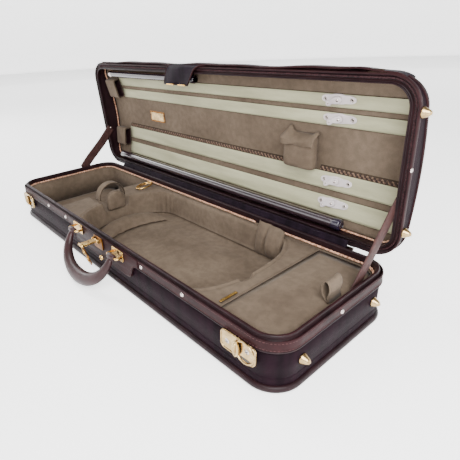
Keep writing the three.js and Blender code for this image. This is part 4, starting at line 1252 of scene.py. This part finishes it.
def weather_flap():
    """Stitched flap along the lid's front edge, folded back over the shoulder and rippled."""
    rows, straight = 150, 11

    def place(u, v):
        x = FLAP_HALF * (2 * v - 1)
        ends = smooth_step(min(v, 1 - v), 0, 0.13)
        ripple = 1.7 * math.sin(x / 37 + 0.6) + 1.1 * math.sin(x / 19 + 2)
        bump = 4.5 * math.exp(-((x - 322) / 24) ** 2) + 3.5 * math.exp(-((x + 330) / 24) ** 2)
        off = 1.0 + ends * (3.0 + ripple * (0.5 + 0.5 * u) + bump * (1 - u)) * (1 - 0.35 * u)
        along = 44 * u * (0.6 + 0.4 * ends)
        if along < straight:
            return (x, lid_front(x, -off), LID_Z + 3 + along)
        a = min(math.pi / 2 * 1.06, (along - straight) / (SHOULDER + 6))
        inset = SHOULDER - (SHOULDER + off) * math.cos(a)
        return (x, lid_front(x, inset), LID_Z + 14 + (SHOULDER + 4 + off) * math.sin(a))

    where = {"body": "weather_flap", "lid": True}
    cloth = fabric("weather_flap", rows, 18, place, GUSSET, 1.8, node="weather_flap", **where)
    for name, u in (("free", 1), ("sewn", 0)):
        edge = [place(u, i / (rows - 1)) for i in range(rows)]
        tube(f"flap_binding_{name}", edge, 1.5, BAND_LEATHER, 8, **where)


def flap_tongue():
    """Fabric tab that turns over the lid's front edge and hangs before the opening, with two brass strips."""
    wall = LID_IN - WIDTH / 2
    line = [(-3.0, 9), (-3.2, 3), (-3.0, -1.5), (-0.5, -4.6), (4, -5.6), (12, -5.2), (22, -5.8), (31, -5.0)]
    rows, columns = len(line), 22

    def place(u, v):
        out, depth = line[round(v * (rows - 1))]
        fold = 1.3 * math.sin(7 * u + 3 * v)
        return (-64 - 29 * v + u * (91 - 18 * v), wall + out, LID_Z + depth + fold * (0.3 + v * 0.7))

    cloth = fabric("flap_tongue", rows, columns, place, GUSSET, 2, node="flap_tongue", **WITH_LID)
    subdivide(cloth)
    pieces = [cloth]
    edges = {
        "left": [place(0, k / (rows - 1)) for k in range(rows)],
        "right": [place(1, k / (rows - 1)) for k in range(rows)],
        "foot": [place(j / (columns - 1), 1) for j in range(columns)],
    }
    for name, edge in edges.items():
        pieces.append(tube(f"tongue_binding_{name}", edge, 1.5, BAND_LEATHER, 8, **WITH_LID))
    for name, x in (("left", -72), ("right", -36)):
        bar = plate(f"tongue_bar_{name}", rounded(22, 2.6, 1, 3), -0.8, 0.8, BRASS, edge=0.4,
                    origin=(x, wall + 31.5, LID_Z - 7), **WITH_LID)
        pieces.append(bar)
    for piece in pieces:
        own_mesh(piece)


# ---- What joins base and lid ----
def stay(side, sign, foot):
    """Ribbon that keeps the lid from falling back; the left one bends out to its foot."""
    head = LID_SWING @ Vector((sign * 381.5, 36, LID_Z + 10))
    across = Vector((0, foot.z - head.z, head.y - foot.y)).normalized()

    def place(u, v):
        centre = foot.lerp(head, v)
        if side == "left":
            centre.x = foot.x + (head.x - foot.x) * smooth_step(v, 0.12, 0.75)
        w = u - 0.5
        curl = 0.6 * math.cos(2.4 * w) + 0.5 * math.sin(5 * v) * w
        return centre + across * (21.2 * w) + Vector((sign * curl, 0, 0))

    strap = fabric(f"stay_{side}", 40, 6, place, RIBBON, 1.6, node=f"stay_{side}")
    strap.parent = None
    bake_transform(strap)
    rivet = [(0, 2), (2.2, 1.7), (3.2, 0.6), (3.2, 0)]
    spot = LID_SWING.inverted() @ head
    lathe(f"stay_rivet_{side}", rivet, (sign * 381, spot.y, spot.z - 1), (-sign, 0, 0), SNAP, 16, **WITH_LID)


def gusset():
    """Fabric that closes the gap over the hinge, sagging between the two rims."""
    low = Vector((0, 121.2, 75.8))
    high = Vector((0, 125.6, 88))

    def place(u, v):
        x = GUSSET_HALF * (2 * v - 1)
        sag = 2.2 * math.sin(math.pi * u) * (1 + 0.25 * math.sin(x / 23))
        ripple = 0.5 * math.sin(x / 11) * u * (1 - u)
        point = low.lerp(high, u)
        return (x, point.y - sag * 0.2 + ripple, point.z - sag)

    cloth = fabric("hinge_gusset", 120, 10, place, GUSSET, 1.1, node="hinge_gusset")
    cloth.parent = None
    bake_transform(cloth)


def hinge():
    for name in ("hinge_leaf_base", "hinge_leaf_lid", "hinge_pin", "lid_catch_left", "lid_catch_right"):
        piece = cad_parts[name]
        paint(piece, BLACK_BRASS, False)
        soften(piece)


# ---- Stage ----
def camera():
    """At the photograph's viewing angle."""
    yaw, pitch, roll = math.radians(-50.7), math.radians(25.5), math.radians(-2.8)
    forward = Vector((math.sin(yaw) * math.cos(pitch), math.cos(yaw) * math.cos(pitch), -math.sin(pitch)))
    right = Vector((math.cos(yaw), -math.sin(yaw), 0))
    up = right.cross(forward)
    right, up = right * math.cos(roll) + up * math.sin(roll), up * math.cos(roll) - right * math.sin(roll)
    data = bpy.data.cameras.new("camera")
    data.sensor_width = 36
    data.lens = 31.586
    data.shift_x, data.shift_y = 0.06783, -0.00261
    data.clip_start = 0.01
    obj = bpy.data.objects.new("camera", data)
    bpy.context.collection.objects.link(obj)
    turn = Matrix((right, up, -forward)).transposed().to_4x4()
    obj.matrix_world = Matrix.Translation((0.5935, -0.385, 0.3742)) @ turn
    bpy.context.scene.camera = obj


def area_light(name, place, target, size, power):
    data = bpy.data.lights.new(name, "AREA")
    data.size = size
    data.energy = power
    obj = bpy.data.objects.new(name, data)
    bpy.context.collection.objects.link(obj)
    obj.location = place
    obj.rotation_euler = (Vector(target) - Vector(place)).to_track_quat("-Z", "Y").to_euler()
    return obj


def bowl():
    """Pale floor that curves up into a low wall all round and glows a little."""
    reach, bend, top, sides = 6, 1.2, 3, 64
    cove = [(reach + bend * math.sin(a), bend * (1 - math.cos(a))) for a in np.linspace(0.2, math.pi / 2, 8)]
    rings = [(reach, 0), *cove, (reach + bend, top)]
    vertices = [(0, 0, 0)]
    for radius, height in rings:
        vertices += [(radius * math.cos(a), radius * math.sin(a), height)
                     for a in np.linspace(0, 2 * math.pi, sides, endpoint=False)]
    faces = [(0, 1 + j, 1 + (j + 1) % sides) for j in range(sides)]
    faces += [tuple(1 + v for v in face) for face in grid_faces(len(rings), sides, closed_columns=True)]
    mesh = bpy.data.meshes.new("floor")
    mesh.from_pydata(vertices, [], faces)
    mesh.polygons.foreach_set("use_smooth", [True] * len(mesh.polygons))
    floor = bpy.data.objects.new("floor", mesh)
    bpy.context.collection.objects.link(floor)
    pale = bpy.data.materials.new("pale_floor")
    pale.use_nodes = True
    shader = pale.node_tree.nodes["Principled BSDF"]
    shader.inputs["Base Color"].default_value = grey(0.9)
    shader.inputs["Roughness"].default_value = 0.9
    shader.inputs["Emission Color"].default_value = grey(1)
    shader.inputs["Emission Strength"].default_value = 1.5
    mesh.materials.append(pale)
    return floor


def studio():
    floor = bowl()
    key = area_light("key", (1.0, -0.55, 0.95), (0.25, 0, 0.05), 0.8, 34)
    side = area_light("side", (2.4, 0.7, 1.0), (0.2, 0, 0.1), 1.3, 24)
    front = area_light("front", (-0.7, -2.2, 1.1), (0, 0, 0.1), 1.6, 6)
    top = area_light("top", (-1.4, -0.15, 1.5), (0, 0.14, 0.1), 0.5, 34)
    top.data.shape = "RECTANGLE"
    top.data.size_y = 2.4
    world = bpy.data.worlds.new("studio")
    world.use_nodes = True
    background = world.node_tree.nodes["Background"]
    background.inputs["Color"].default_value = grey(1)
    background.inputs["Strength"].default_value = 0.6
    bpy.context.scene.world = world


camera()
studio()
base_shell()
base_trim()
base_rope()
violin_bed()
bay_cushions()
scroll_cushion()
neck_pad()
neck_strap()
bay_flap()
pocket_ring()
compartment()
pull_loop()
front_panel()
handle_brackets()
handle()
lock()
hasp_arm()
hasp_tongue()
latches()
studs_and_snaps()
lid_shell()
lid_trim()
lid_ceiling()
spinners()
tip_pockets()
nameplate()
lace()
pouch()
string_tube()
short_tube()
weather_flap()
flap_tongue()
stay("left", -1, Vector((-391.6, 41, 74.6)))
stay("right", 1, Vector((380.6, 36, 55)))
gusset()
hinge()
